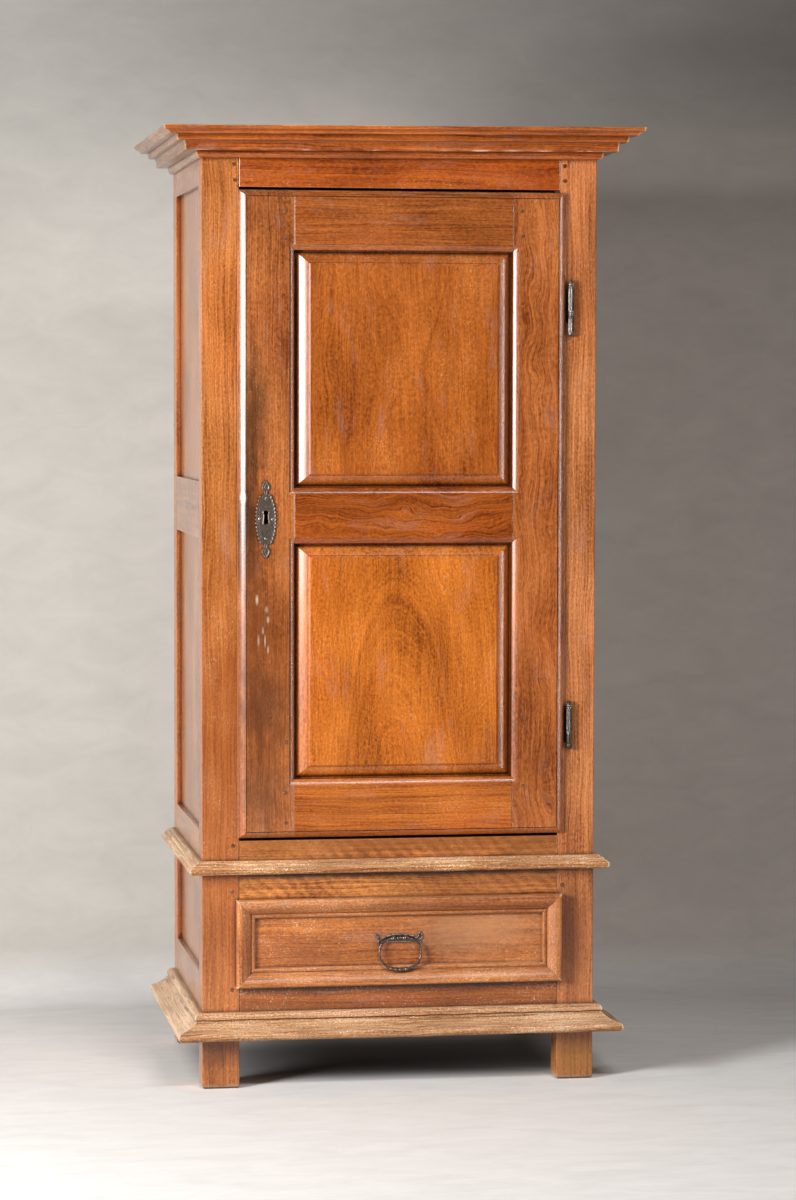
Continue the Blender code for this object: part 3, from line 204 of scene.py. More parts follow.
def waxedWalnut(name, grain, seed, **changes):
    look = {**walnutLook, **changes, "grain": grain, "seed": seed}
    material, tree, shader = newMaterial(name)
    spot = addNode(tree, "TexCoord", out="Object")
    laid, noise = woodNoise(tree, look, spot)
    sums = woodSums(tree, look, noise)
    tone = sums["tone"]
    if look["rippleMm"]:
        # curl across the grain, which shows as soft slanted bars, stronger in places; a wave texture
        # of scale 0.314 has bars one unit apart
        curled = {"Vector": laid, "Scale": 0.314 / look["rippleMm"],
                  "Distortion": 6.0, "Detail": 2.0, "Detail Scale": 0.4}
        wave = addNode(tree, "TexWave", curled, out="Fac", bands_direction="DIAGONAL")
        swing = addNode(tree, "Math", (wave, 0.5), operation="SUBTRACT")
        strength = addNode(tree, "MapRange", (noise["warm"], *curlSpan, 0.0, curlShare))
        tone = addNode(tree, "Math", (swing, strength, tone), operation="MULTIPLY_ADD")
    ramp = addNode(tree, "ValToRGB", {0: tone}, out=None)
    stops = ramp.color_ramp.elements
    for place, gain in toneStops.items():
        stops.new(place).color = tint(look["colour"], gain)
    stops.remove(stops[-1])  # the ramp's own white and black ends
    stops.remove(stops[0])
    colour = ramp.outputs[0]
    for mask, span, most, over, mode in woodCoats(tree, look, spot, noise, sums):
        share = addNode(tree, "MapRange", (mask, *span, 0.0, most), interpolation_type="SMOOTHSTEP")
        mixed = {0: share, 6: colour, 7: over}
        colour = addNode(tree, "Mix", mixed, 2, data_type="RGBA", blend_type=mode)
    tree.links.new(colour, shader.inputs["Base Color"])
    tree.links.new(sums["gloss"], shader.inputs["Roughness"])
    shader.inputs["Coat Weight"].default_value = look["wax"]
    shader.inputs["Coat Roughness"].default_value = look["waxRoughness"]
    raised = {"Height": sums["swell"], "Distance": look["bumpMm"] / 1000, "Strength": 1.0}
    tree.links.new(addNode(tree, "Bump", raised), shader.inputs["Normal"])
    return material


# Forged iron: dark fire skin with brown rust in it, hammered, rubbed bright on the edges
ironLook = {"skin": "#4a423c", "rust": "#4e3526", "bright": "#e6dfd4", "roughness": 0.32, "metal": 0.7,
            "hammerMm": 5.0, "pitMm": 1.6, "bumpMm": 0.3, "bumpShare": 0.8, "hammerShare": 3.0,
            "rusty": 0.8, "wear": 0.85, "wearReach": 0.0022, "soot": 0.9, "sootReach": 0.004,
            # where rust, rubbed edges, the patches in them and soot start and where they are full
            "rustEdges": (0.45, 0.65), "wearEdges": (0.80, 0.35), "patchEdges": (0.35, 0.62),
            "sootEdges": (0.75, 0.30), "pitGloss": 0.35, "pitStart": 0.17}


def forgedIron(name, **changes):
    look = {**ironLook, **changes}
    material, tree, shader = newMaterial(name)
    spot = addNode(tree, "TexCoord", out="Object")
    beaten = {"Vector": spot, "Scale": 1000 / look["hammerMm"], "Detail": 2.0}
    hammered = addNode(tree, "TexNoise", beaten)
    pitted = {"Vector": spot, "Scale": 1000 / look["pitMm"], "Detail": 3.0, "Roughness": 0.6}
    pits = addNode(tree, "TexNoise", pitted)
    rusty = addNode(tree, "MapRange", (hammered, *look["rustEdges"], 0.0, look["rusty"]))
    edge = addNode(tree, "AmbientOcclusion", {"Distance": look["wearReach"]}, "AO",
                   samples=6, inside=True, only_local=True)
    worn = addNode(tree, "MapRange", (edge, *look["wearEdges"], 0.0, look["wear"]))
    patchy = addNode(tree, "MapRange", (pits, *look["patchEdges"]))
    worn = addNode(tree, "Math", (worn, patchy), operation="MULTIPLY")
    hollow = addNode(tree, "AmbientOcclusion", {"Distance": look["sootReach"]}, "AO", samples=6)
    sooty = addNode(tree, "MapRange", (hollow, *look["sootEdges"], 0.0, look["soot"]))
    colour = tint(look["skin"])
    for share, over, mode in ((rusty, tint(look["rust"]), "MIX"), (worn, tint(look["bright"]), "MIX"),
                              (sooty, (0.10, 0.08, 0.07, 1.0), "MULTIPLY")):
        mixed = {0: share, 6: colour, 7: over}
        colour = addNode(tree, "Mix", mixed, 2, data_type="RGBA", blend_type=mode)
    tree.links.new(colour, shader.inputs["Base Color"])
    shader.inputs["Metallic"].default_value = look["metal"]
    uneven = pits, look["pitGloss"], look["roughness"] - look["pitStart"]
    gloss = addNode(tree, "Math", uneven, operation="MULTIPLY_ADD")
    tree.links.new(gloss, shader.inputs["Roughness"])
    swell = addNode(tree, "Math", (hammered, look["hammerShare"], pits), operation="MULTIPLY_ADD")
    raised = {"Height": swell, "Distance": look["bumpMm"] / 1000, "Strength": look["bumpShare"]}
    tree.links.new(addNode(tree, "Bump", raised), shader.inputs["Normal"])
    return material


iron = forgedIron("forged iron")
plateIron = forgedIron("forged iron rubbed plate", skin="#4e3c32", rust="#3c281d", bright="#e2d4c2",
                       wear=0.30, roughness=0.38, hammerMm=3.4, pitMm=1.2)
rubbedIron = forgedIron("forged iron rubbed bright", skin="#6c6056", rust="#4a3a30", bright="#f8f2ea",
                        wear=0.65, roughness=0.24, soot=0.7, metal=0.65)
# near black iron for the hinge slots: painted shade
shadeBlackIron = forgedIron("forged iron sooty", skin="#0e0b09", rust="#150e0a", bright="#2a221c",
                       wear=0.2, roughness=0.8)

# what differs from board to board: colour, grain and figure, and the stains of use and painted
# shadows, each with its centre and radii in metres, its colour and its strength
boardLook = {
    "post_front_left": {"colour": "#bc7137", "wear": 0.8, "stains": (
        ((-0.37, -0.25, 0.65), (0.3, 0.3, 0.55), "#98481a", 0.55),
        # painted shade on the top of the foot, under the base moulding
        ((-0.38, -0.25, 0.075), (0.07, 0.1, 0.045), "#5e2f16", 0.55),
        ((-0.37, -0.25, 0.0), (0.2, 0.2, 0.009), "#c9b08a", 0.6))},
    "post_front_right": {"colour": "#c57a47", "wear": 0.8, "stains": (
        ((0.37, -0.25, 0.05), (0.08, 0.1, 0.07), "#a06c2c", 0.6),
        ((0.37, -0.25, 0.0), (0.2, 0.2, 0.009), "#c9b08a", 0.6),
        # painted shadow of the drawer moulding on the post
        ((0.355, -0.25, 0.30), (0.06, 0.1, 0.14), "#7c4018", 0.55))},
    "front_rail_top": {"colour": "#a74f15"},
    "front_rail_middle": {"colour": "#c87e3e", "rippleMm": 15.0, "stains": (
        ((0.22, -0.25, 0.43), (0.26, 0.1, 0.08), "#8a4c1e", 0.5),
        # painted shadow of the door along the top of the rail
        ((0, -0.25, 0.505), (0.7, 0.1, 0.040), "#8f5020", 0.7),
        # painted shadow under the waist moulding
        ((0, -0.2476, 0.4375), (0.7, 0.05, 0.009), "#24140a", 0.8))},
    "front_rail_bottom": {"colour": "#9a541f", "fleckShare": 0.8, "fleckFrom": 0.81, "stains": (
        # painted shadow under the drawer moulding
        ((0, -0.2476, 0.2055), (0.6, 0.05, 0.010), "#24140a", 0.85),)},
    "door_stile_lock": {"colour": "#ab6230", "stains": (
        ((-0.303, -0.25, 1.37), (0.036, 0.05, 0.19), "#4a2a14", 0.8),
        ((-0.314, -0.25, 1.16), (0.034, 0.05, 0.16), "#3c2416", 0.85),
        ((-0.282, -0.25, 0.780), (0.060, 0.05, 0.100), "#452e20", 0.75),
        ((-0.300, -0.25, 0.95), (0.036, 0.05, 0.15), "#5a3218", 0.55),
        ((-0.285, -0.25, 0.84), (0.12, 0.05, 0.30), "#7c3e18", 0.5),
        ((-0.290, -0.25, 0.60), (0.06, 0.05, 0.09), "#5c3a28", 0.5),
        ((-0.2955, -0.2616, 1.0000), (0.0032, 0.004, 0.011), "#d9bfa6", 0.9),
        ((-0.2731, -0.2616, 0.9591), (0.0030, 0.004, 0.008), "#d2b090", 0.8),
        ((-0.2731, -0.2616, 0.8982), (0.0024, 0.004, 0.010), "#cfa98a", 0.8),
        ((-0.2925, -0.2616, 0.9170), (0.0028, 0.004, 0.013), "#c4a48e", 0.7),
        ((-0.2835, -0.2616, 0.9370), (0.0024, 0.004, 0.009), "#c4a48e", 0.7),
        ((-0.2790, -0.2616, 0.9160), (0.0020, 0.004, 0.015), "#cfb4a0", 0.7),
        ((-0.2760, -0.2616, 0.9800), (0.0040, 0.004, 0.008), "#c4a48e", 0.6),
        ((-0.3229, -0.2570, 1.2068), (0.0080, 0.010, 0.012), "#e6d6c8", 0.8))},
    "door_stile_hinge": {"colour": "#ae602c", "wanderMm": 40.0, "wanderLong": 190.0, "pithTilt": 0.16,
                         "ringMm": 15.0, "fleckShare": 0.35},
    "door_rail_top": {"colour": "#a05621", "wear": 0.2},
    "door_rail_middle": {"colour": "#9b4c16", "wanderMm": 44.0, "wanderLong": 130.0, "ringShare": 0.8,
                         "wear": 0.2, "fleckShare": 0.2},
    "door_rail_bottom": {"colour": "#b76220", "wear": 0.2},
    "door_panel_upper": {"colour": "#ad5b1e", "ringShare": 0.5, "fibreShare": 0.8, "ringMm": 8.0,
                         "wanderMm": 30.0, "pithAcross": 25.0, "pithDepth": 95.0, "pithTilt": 0.05,
                         "pithBow": -0.0010, "pithAlong": 1440.0},
    "door_panel_lower": {"colour": "#c76d22", "ringShare": 0.55, "fibreShare": 0.9, "ringMm": 7.0,
                         "wanderMm": 26.0, "pithAcross": -10.0, "pithDepth": 90.0, "pithTilt": 0.22,
                         "pithAlong": 880.0},
    "drawer_front": {"colour": "#ba6c31", "fleckShare": 0.8, "fleckFrom": 0.81, "fibreShare": 1.0, "stains": (
        ((0.16, -0.25, 0.32), (0.16, 0.05, 0.07), "#d59a6c", 0.5),
        ((-0.22, -0.25, 0.27), (0.10, 0.05, 0.05), "#8e4a22", 0.4))},
    # the left returns are painted paler and greyer than the fronts: a painted sheen of the pale wall seen at
    # a low angle; the cornice's whitish rubbed edges add to it
    "base_moulding_left": {"colour": "#d2aa88", "dust": 0.7},
    "waist_moulding_left": {"colour": "#c89a70"},
    "cornice_left": {"colour": "#986b4c", "wear": 0.9, "wearColour": "#f0e2d4"},
}
# what boards of one kind share; sides are seen at a low angle, where the wax mirrors the pale wall
sideLook = {"colour": "#a46941", "roughness": 0.23, "wear": 0.8}
corniceLook = {"colour": "#b05a1c", "wear": 0.8, "wearColour": "#f0be88", "roughness": 0.32,
               "fibreShare": 1.4, "grime": 1.0}
waistLook = {"colour": "#bd7c44", "wear": 0.9, "wearColour": "#f2d6ac", "fibreShare": 1.7,
             "fleckShare": 0.9, "fleckFrom": 0.91, "fleckColour": "#fce6c2", "streak": 0.35,
             "dust": 0.45, "dustFrom": 1.65, "dustColour": "#eec28a",
             "roughness": 0.42, "wax": 0.2, "bumpMm": 0.3}
baseLook = {"colour": "#bd8454", "wear": 0.9, "wearColour": "#f0d6b2", "fibreShare": 1.7, "ringShare": 0.8,
            "fleckShare": 0.85, "fleckFrom": 0.92, "fleckColour": "#f8e2c4", "streak": 0.35,
            "dust": 0.45, "dustColour": "#e6c096", "roughness": 0.48, "wax": 0.15, "bumpMm": 0.3}
frameLook = {"colour": "#b86f38", "wear": 0.9, "wearColour": "#f0cfa8", "fibreShare": 1.0, "dust": 0.22,
             "fleckShare": 0.9, "fleckFrom": 0.80, "roughness": 0.42, "wax": 0.2, "bumpMm": 0.25}
insideLook = {"colour": "#b4875a", "ringMm": 18.0, "fleckShare": 0.1, "roughness": 0.6, "wear": 0.2,
              "poreDepth": 0.2}
insideBoards = ("shelf", "cupboard_floor", "top_board", "back_panel", "drawer_side", "drawer_back",
                "drawer_bottom")
# the underside, painted near black: painted shade under the cupboard, which also keeps light from bouncing
# there
underShadeLook = {"colour": "#2e221a", "roughness": 0.8, "wear": 0.1, "fleckShare": 0.0, "dust": 0.0, "wax": 0.0}
familyLook = {"side": sideLook, "cornice": corniceLook, "waist": waistLook, "base": baseLook,
              "drawer_moulding": frameLook, "bottom_board": underShadeLook,
              **dict.fromkeys(insideBoards, insideLook)}
# which way the grain runs, by the start of a name; it is along x in all other boards
grains = {
    "z": ("post", "door_stile", "door_panel", "side_panel", "back_panel"),
    "y": ("side_rail", "cornice_left", "cornice_right", "waist_moulding_left", "waist_moulding_right",
          "base_moulding_left", "base_moulding_right", "drawer_side"),
}
for index, (name, node) in enumerate(sorted(nodes.items())):
    if name == "escutcheon":
        material = plateIron
    elif name.startswith(("hinge", "lock", "pull")):
        material = iron
    else:
        family = next((start for start in familyLook if name.startswith(start)), None)
        wood = "poplar " if familyLook.get(family) is insideLook else "waxed walnut "
        grain = next((axis for axis, starts in grains.items() if name.startswith(starts)), "x")
        look = {**familyLook.get(family, {}), **boardLook.get(name, {})}
        material = waxedWalnut(wood + name, grain, index + 1.0, **look)
    node.data.materials.clear()
    node.data.materials.append(material)
print("boards finished")


# coordinates of shapes that fit together become one grid of points
def pointsAt(*axes):
    return np.stack(np.broadcast_arrays(*axes), -1)


# a grid of points in millimetres becomes a skin: rows and columns may close on themselves, open row
# ends get one face each, and the grid may hold several equal pieces
def addPiece(name, points, material, body, replaces=(), wrapRows=False, wrapColumns=True,
             caps=True, weld=False, sharp=40):
    points = np.asarray(points, float) / 1000
    points = points.reshape((-1,) + points.shape[-3:])
    count, rows, columns = points.shape[:3]
    spans = np.arange(rows - (not wrapRows)), np.arange(columns - (not wrapColumns))
    r, c = (grid.ravel() for grid in np.meshgrid(*spans, indexing="ij"))
    rNext, cNext = (r + 1) % rows, (c + 1) % columns
    faces = np.stack([r * columns + c, r * columns + cNext, rNext * columns + cNext, rNext * columns + c], -1)
    starts = np.arange(count) * rows * columns
    faces = (faces[None] + starts[:, None, None]).reshape(-1, 4).tolist()
    if caps and not wrapRows:
        ring = np.arange(columns)
        ends = ring[::-1], (rows - 1) * columns + ring
        faces += [(start + end).tolist() for start in starts for end in ends]
    mesh = bpy.data.meshes.new(name)
    mesh.from_pydata(points.reshape(-1, 3).tolist(), [], faces)
    work = bmesh.new()
    work.from_mesh(mesh)
    if weld:
        bmesh.ops.remove_doubles(work, verts=work.verts, dist=2e-6)
    else:
        bmesh.ops.recalc_face_normals(work, faces=work.faces)
    work.to_mesh(mesh)
    work.free()
    mesh.shade_smooth()
    mesh.set_sharp_from_angle(angle=math.radians(sharp))
    mesh.materials.append(material)
    piece = bpy.data.objects.new(name, mesh)
    bpy.context.scene.collection.objects.link(piece)
    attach(piece, body)
    if replaces:
        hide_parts(*replaces)
    return piece


# points after start on a curve to end that swells as a parabola to the left of its chord
def swelling(start, end, rise, steps):
    start, end = np.array(start, float), np.array(end, float)
    part = np.linspace(0, 1, steps + 1)[1:, None]
    left = np.array((start[1] - end[1], end[0] - start[0])) / np.hypot(*(end - start))
    return start + (end - start) * part + left * 4 * rise * part * (1 - part)


# a closed outline with no side longer than a step
def divided(outline, step):
    after = np.roll(outline, -1, 0)
    counts = np.maximum(1, np.ceil(np.hypot(*(after - outline).T) / step)).astype(int)
    side = np.repeat(np.arange(len(outline)), counts)
    part = (np.arange(counts.sum()) - np.repeat(np.cumsum(counts) - counts, counts)) / counts[side]
    return outline[side] + (after[side] - outline[side]) * part[:, None]


# smooth seeded noise on a grid: a sum of slow cosines in both directions, about -1 to 1
def cosineNoise(rows, columns, seed, rowMm, columnMm, waves=26):
    rng = np.random.default_rng(seed)
    rowRate = rng.uniform(-1, 1, waves) * 2 * np.pi / rowMm
    columnRate = rng.uniform(-1, 1, waves) * 2 * np.pi / columnMm
    turns = rng.uniform(0, 2 * np.pi, waves)
    phase = rows[:, None, None] * rowRate + columns[None, :, None] * columnRate + turns
    return np.cos(phase).sum(-1) / np.sqrt(waves)


# a smooth ridge over a distance: high at its place, and falling off over its width as a bell curve
def ridge(distance, high, place, wide):
    return high * np.exp(-((distance - place) / wide) ** 2)


# what all worn strips share: the lengths of their waves, along the strip and round the outline, how
# rare dents are, how rubbing varies, how sharp a corner counts, what is left beside it, and the flat back
rubbing = {"unevenMm": (60.0, 40.0), "dentsMm": (9.0, 7.0), "wavesMm": (160.0, 60.0), "dentsOver": 1.25,
           "mean": 0.8, "varies": 0.5, "mostTurn": 1.2, "beside": 0.45, "backMm": 2.0}


# handworn profile in millimetres: the outline's outward corners are rubbed back unevenly along the
# strip, small dents are taken out of it, and the whole face waves a little
def wornProfile(outline, lengths, wear, seed, backAxis=0):
    points = divided(np.asarray(outline, float), wear["stepMm"])
    before, after = points - np.roll(points, 1, 0), np.roll(points, -1, 0) - points
    along = before / np.hypot(*before.T)[:, None] + after / np.hypot(*after.T)[:, None]
    outward = pointsAt(along[:, 1], -along[:, 0]) / np.maximum(np.hypot(*along.T), 0.3)[:, None]
    turn = np.arctan2(before[:, 0] * after[:, 1] - before[:, 1] * after[:, 0], (before * after).sum(1))
    corner = np.clip(turn, 0, rubbing["mostTurn"])
    corner = np.maximum(corner, rubbing["beside"] * np.maximum(np.roll(corner, 1), np.roll(corner, -1)))
    free = np.clip(points[:, backAxis] / rubbing["backMm"], 0, 1)  # the back stays flat on the boards
    corner = corner * free
    run = np.cumsum(np.hypot(*after.T))
    uneven = cosineNoise(lengths, run, seed, *rubbing["unevenMm"])
    dents = cosineNoise(lengths, run, seed + 1, *rubbing["dentsMm"])
    dents = np.clip(dents - rubbing["dentsOver"], 0, 1)
    wave = cosineNoise(lengths, run, seed + 2, *rubbing["wavesMm"]) * free
    back = corner * wear["cornerMm"] * (rubbing["mean"] + rubbing["varies"] * uneven)
    back = back + dents * wear["dentMm"] * np.clip(corner * 2, 0, 1) - wave * wear["waveMm"]
    return points[None] - outward[None] * back[..., None]


# angles of so many even steps round a circle
def around(count):
    return np.linspace(0, 2 * np.pi, count, endpoint=False)


# a profile of radius and height turned about an axis through a place, in millimetres
def turned(profile, place, axis, sides=20):
    profile = np.asarray(profile, float)
    axis = Vector(axis).normalized()
    first = axis.orthogonal().normalized()
    angle = around(sides)[:, None]
    spoke = np.cos(angle) * np.array(first) + np.sin(angle) * np.array(axis.cross(first))
    return np.array(place) + profile[:, 0, None, None] * spoke + profile[:, 1, None, None] * np.array(axis)


postLow, postHigh = (np.array(corner) * 1000 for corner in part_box("post_front_right"))
caseSide, caseFront, caseBack = postHigh[0], postLow[1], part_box("post_back_right")[1][1] * 1000
fit = 0.3  # mm left between a strip or plate and the board that carries it

# Cornice, waist and base mouldings: a worn profile (out from the boards, up from its foot) carried
# along the front and both sides, cut to a mitre at the front corners; the cornice has sagged at left
stripLook = {
    "cornice": {"foot": 1889.0, "tilt": 7.0, "outline": [
        (0, 0), (6, 0), *swelling((6, 0), (12, 12.2), -1.5, 6), (12, 13.7), (38, 13.7),
        *swelling((38, 13.7), (39.5, 32.7), 1.5, 7), (54, 32.7), (55.5, 44.7), (71.5, 44.7),
        *swelling((71.5, 44.7), (80, 52.75), 1.5, 6), (83, 53.5), (84.5, 61), (0, 61)],
        "wear": {"stepMm": 2.2, "rowMm": 3.4, "cornerMm": 0.8, "dentMm": 1.6, "waveMm": 0.20}},
    "waist_moulding": {"foot": 441.5, "tilt": 0.0, "outline": [
        (0, 0), (24.5, 0), *swelling((24.5, 0), (21, 17.5), -5.5, 9), (19, 17.5),
        *swelling((19, 17.5), (13.5, 23.5), -1.2, 4), (11.5, 23.5), (10.5, 26.5), (0, 26.5)],
        "wear": {"stepMm": 1.8, "rowMm": 3.0, "cornerMm": 0.9, "dentMm": 2.2, "waveMm": 0.30}},
    "base_moulding": {"foot": 105.5, "tilt": 0.0, "outline": [
        (0, 0), (48.5, 0), *swelling((48.5, 0), (51, 16.5), -4.2, 8),
        *swelling((51, 16.5), (13.5, 37.5), 3.5, 10), (16.5, 38.3),
        *swelling((16.5, 38.3), (9, 52.5), -3.5, 8), (0, 52.5)],
        "wear": {"stepMm": 2.0, "rowMm": 3.2, "cornerMm": 0.9, "dentMm": 2.2, "waveMm": 0.30}},
}
corniceLength = 980.0  # mm that the tilt is counted over
for number, (family, look) in enumerate(stripLook.items()):
    for side, sign in (("front", 0), ("left", -1), ("right", 1)):
        length = caseBack - caseFront if sign else 2 * caseSide
        part = np.linspace(0, 1, int(length / look["wear"]["rowMm"]) + 1)
        worn = wornProfile(look["outline"], part * length, look["wear"], 10 * number + sign + 1)
        out, up = worn[..., 0], worn[..., 1]
        part = part[:, None]
        x = sign * (caseSide + fit + out) if sign else (2 * part - 1) * (caseSide + out)
        y = (caseFront - out) * (1 - part) + caseBack * part if sign else caseFront - fit - out
        z = look["foot"] + up + look["tilt"] * (0.5 + x / corniceLength)
        node = family + "_" + side
        addPiece(node + "Worn", pointsAt(x, y, z), nodes[node].data.materials[0],
                 "case", (node,))
print("mouldings made")

# Moulding round the drawer: profile (in from the edge, out from the drawer front), two rails and
# two stiles mitred together with a hairline left open
frameShape = {
    "halfWidth": 337.0, "foot": 208.0, "head": 388.0, "mitreGap": 0.15, "seeds": (50, 70),
    "outline": [
        (0, 0), (0, 15), *swelling((0, 15), (5.7, 22), 2.2, 6), (9.5, 22),
        *swelling((9.5, 22), (28.5, 10), 1.2, 8), (30, 7), *swelling((30, 7), (39, 4.9), 2.2, 7), (40, 0)],
    "wear": {"stepMm": 1.6, "rowMm": 2.6, "cornerMm": 0.8, "dentMm": 1.9, "waveMm": 0.25},
}
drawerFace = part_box("drawer_front")[0][1] * 1000
frameMiddle = (frameShape["head"] + frameShape["foot"]) / 2
frameHalfHigh = (frameShape["head"] - frameShape["foot"]) / 2
railWood = nodes["drawer_moulding"].data.materials[0]
stileWood = waxedWalnut("waxed walnut drawer moulding stiles", "z", 91.0, **frameLook)
for bar, half, away, material in (("Rails", frameShape["halfWidth"], frameHalfHigh, railWood),
                                  ("Stiles", frameHalfHigh, frameShape["halfWidth"], stileWood)):
    part = np.linspace(-1, 1, int(2 * half / frameShape["wear"]["rowMm"]) + 1)
    worn = np.stack([wornProfile(frameShape["outline"][::-1], (part + 1) * half, frameShape["wear"],
                                 seed + len(bar), 1) for seed in frameShape["seeds"]])
    inset, high = worn[..., 0], worn[..., 1]
    run = part[None, :, None] * (half - inset - frameShape["mitreGap"])
    away = np.array([-1.0, 1.0])[:, None, None] * (away - inset)
    x, z = (run, frameMiddle + away) if bar == "Rails" else (away, frameMiddle + run)
    addPiece("drawerMoulding" + bar, pointsAt(x, drawerFace - fit - high, z), material,
             "drawer", ("drawer_moulding",))
print("drawer moulding made")

# Lock plate: each row of height runs from the keyhole out to a scalloped oval with a neck and a
# leaf above and below; beads stand along the rim and a raised lip goes round the keyhole
plateLook = {
    "middle": (-277.0, 1162.9), "face": -263.3, "thick": 1.4, "reach": 80.4, "rows": 460, "columns": 26,
    "half": 50.5, "wide": 22.5, "endShare": 0.50, "lobes": 13, "lobeMm": 3.0,
    "neck": 6.0, "neckHalf": 4.5, "leaf": 24.0, "leafHalf": 9.0, "leafPower": 0.65, "tipHalf": 0.3,
    "holeAbove": 4.3, "holeHalf": 14.0, "headRadius": 4.7, "headAbove": 9.3, "footHalf": 5.0,
    "waistHalf": 3.02, "waistAbove": 5.7,
    # height, distance from the rim or the keyhole, and width of each ridge; narrow places are flatter
    "beads": (1.4, 2.4, 1.4), "groove": (0.4, 5.2, 0.9), "lip": (0.9, 1.3, 0.9),
    "leafBead": 0.5, "flatUnder": 6.0,
}
rowsHigh = np.linspace(-plateLook["reach"], plateLook["reach"], plateLook["rows"])
far = np.abs(rowsHigh)
lobe = np.abs(np.cos(plateLook["lobes"] * np.pi * rowsHigh / (2 * plateLook["half"])))
narrowing = np.minimum(far / plateLook["half"], 1) ** 2 * (1 - plateLook["endShare"] ** 2)
oval = plateLook["wide"] * np.sqrt(1 - narrowing) - plateLook["lobeMm"] * (1 - lobe)
leaf = np.clip((far - plateLook["half"] - plateLook["neck"]) / plateLook["leaf"], 0, 1)
leafy = np.maximum(plateLook["leafHalf"] * np.sin(np.pi * leaf ** plateLook["leafPower"]),
                   plateLook["neckHalf"] * (1 - leaf))
isOval = far <= plateLook["half"]
outer = np.maximum(np.where(isOval, oval, leafy), plateLook["tipHalf"])[:, None]
overHole = rowsHigh - plateLook["holeAbove"]
headHalf = np.sqrt(np.maximum(plateLook["headRadius"] ** 2 - (overHole - plateLook["headAbove"]) ** 2, 0))
slotHalf = np.interp(overHole, (-plateLook["holeHalf"], plateLook["waistAbove"]),
                     (plateLook["footHalf"], plateLook["waistHalf"]))
inner = np.where(overHole > -plateLook["holeHalf"], slotHalf, 0)
inner = np.where(overHole > plateLook["waistAbove"], headHalf, inner)[:, None]
share = np.linspace(0, 1, plateLook["columns"])[None]
halves = []
for sign in (-1, 1):
    reach = inner + (outer - inner) * (share[:, ::-1] if sign < 0 else share)
    fromRim, fromHole = outer - reach, reach - inner
    beaded = np.where(isOval, lobe, plateLook["leafBead"])[:, None]
    relief = ridge(fromRim, *plateLook["beads"]) * beaded - ridge(fromRim, *plateLook["groove"])
    relief += np.where(inner > 0, ridge(fromHole, *plateLook["lip"]), 0)
    relief *= np.clip(outer / plateLook["flatUnder"], 0, 1)
    halves.append(pointsAt(plateLook["middle"][0] + sign * reach, plateLook["face"] - relief,
                           plateLook["middle"][1] + rowsHigh[:, None]))
plate = addPiece("lockPlate", halves, plateIron, "door", ("escutcheon",),
                 wrapColumns=False, caps=False, weld=True)
backing = plate.modifiers.new("thickness", "SOLIDIFY")
backing.thickness, backing.offset = plateLook["thick"] / 1000, -1.0
# four nails with domed heads, a quarter circle turned
nailLook = {"radius": 2.7, "rise": 1.3, "seat": 0.2,
            "at": [(-277.1, 1205.9), (-278.3, 1124.4), (-291.0, 1164.7), (-264.3, 1163.0)]}
dome = np.linspace(0, 0.95, 6) * np.pi / 2  # short of the pole, where a small face closes it
nailHigh = nailLook["seat"] + nailLook["rise"] * np.sin(dome)
nailProfile = pointsAt(nailLook["radius"] * np.cos(dome), nailHigh)
nails = [turned(nailProfile, (x, plateLook["face"], z), (0, -1, 0)) for x, z in nailLook["at"]]
addPiece("lockPlateNails", nails, iron, "door")
print("lock plate made")

# Drawer ring: a round bar carried round a superellipse that hangs from the axis of its eyes and
# leans out at the foot; the bar swells at the foot and carries turned beads
ringLook = {"axis": (0.0, -255.2, 303.0), "lean": 9.3, "halfWidth": 43.0, "high": 64.5, "topPower": 2.7,
            "lowPower": 2.1, "radius": 2.45, "steps": 420, "sides": 18,
            "topBeads": (-16.3, -9.8, -3.7, 8.1, 16.6), "lowBeads": (-20.0, -9.8, -1.0, 10.5),
            "topFrom": -12, "lowFrom": -50, "beadMm": 1.6, "beadWide": 1.7,
            "footSwell": 0.6, "footAt": 1.5, "footWide": 26, "footEnd": 1.15, "footEase": 0.3}
turn = around(ringLook["steps"])
power = 2 / np.where(np.sin(turn) > 0, ringLook["topPower"], ringLook["lowPower"])
ringX = ringLook["halfWidth"] * np.sign(np.cos(turn)) * np.abs(np.cos(turn)) ** power
drop = ringLook["high"] / 2 * (np.sign(np.sin(turn)) * np.abs(np.sin(turn)) ** power - 1)
ahead = pointsAt(np.roll(ringX, -1) - np.roll(ringX, 1), np.roll(drop, -1) - np.roll(drop, 1))
ahead /= np.hypot(*ahead.T)[:, None]
onTop, onFoot = drop > ringLook["topFrom"], drop < ringLook["lowFrom"]
fromEnd = ringLook["footEnd"] - np.abs(ringX - ringLook["footAt"]) / ringLook["footWide"]
footShare = np.clip(fromEnd, 0, ringLook["footEase"]) / ringLook["footEase"]
bar = ringLook["radius"] + ringLook["footSwell"] * footShare * onFoot
for beads, there in ((ringLook["topBeads"], onTop), (ringLook["lowBeads"], onFoot)):
    turnedBeads = ridge(ringX[:, None], ringLook["beadMm"], np.array(beads), ringLook["beadWide"])
    bar = bar + there * turnedBeads.sum(1)
spin = around(ringLook["sides"])
side, front = bar[:, None] * np.cos(spin), bar[:, None] * np.sin(spin)
lean = math.radians(ringLook["lean"])
flatX, flatZ = ringX[:, None] + side * ahead[:, 1:], drop[:, None] - side * ahead[:, :1]
ring = pointsAt(ringLook["axis"][0] + flatX,
                ringLook["axis"][1] + flatZ * math.sin(lean) - front * math.cos(lean),
                ringLook["axis"][2] + flatZ * math.cos(lean) + front * math.sin(lean))
addPiece("drawerRing", ring, rubbedIron, "pull_ring", ("pull_ring",), wrapRows=True)

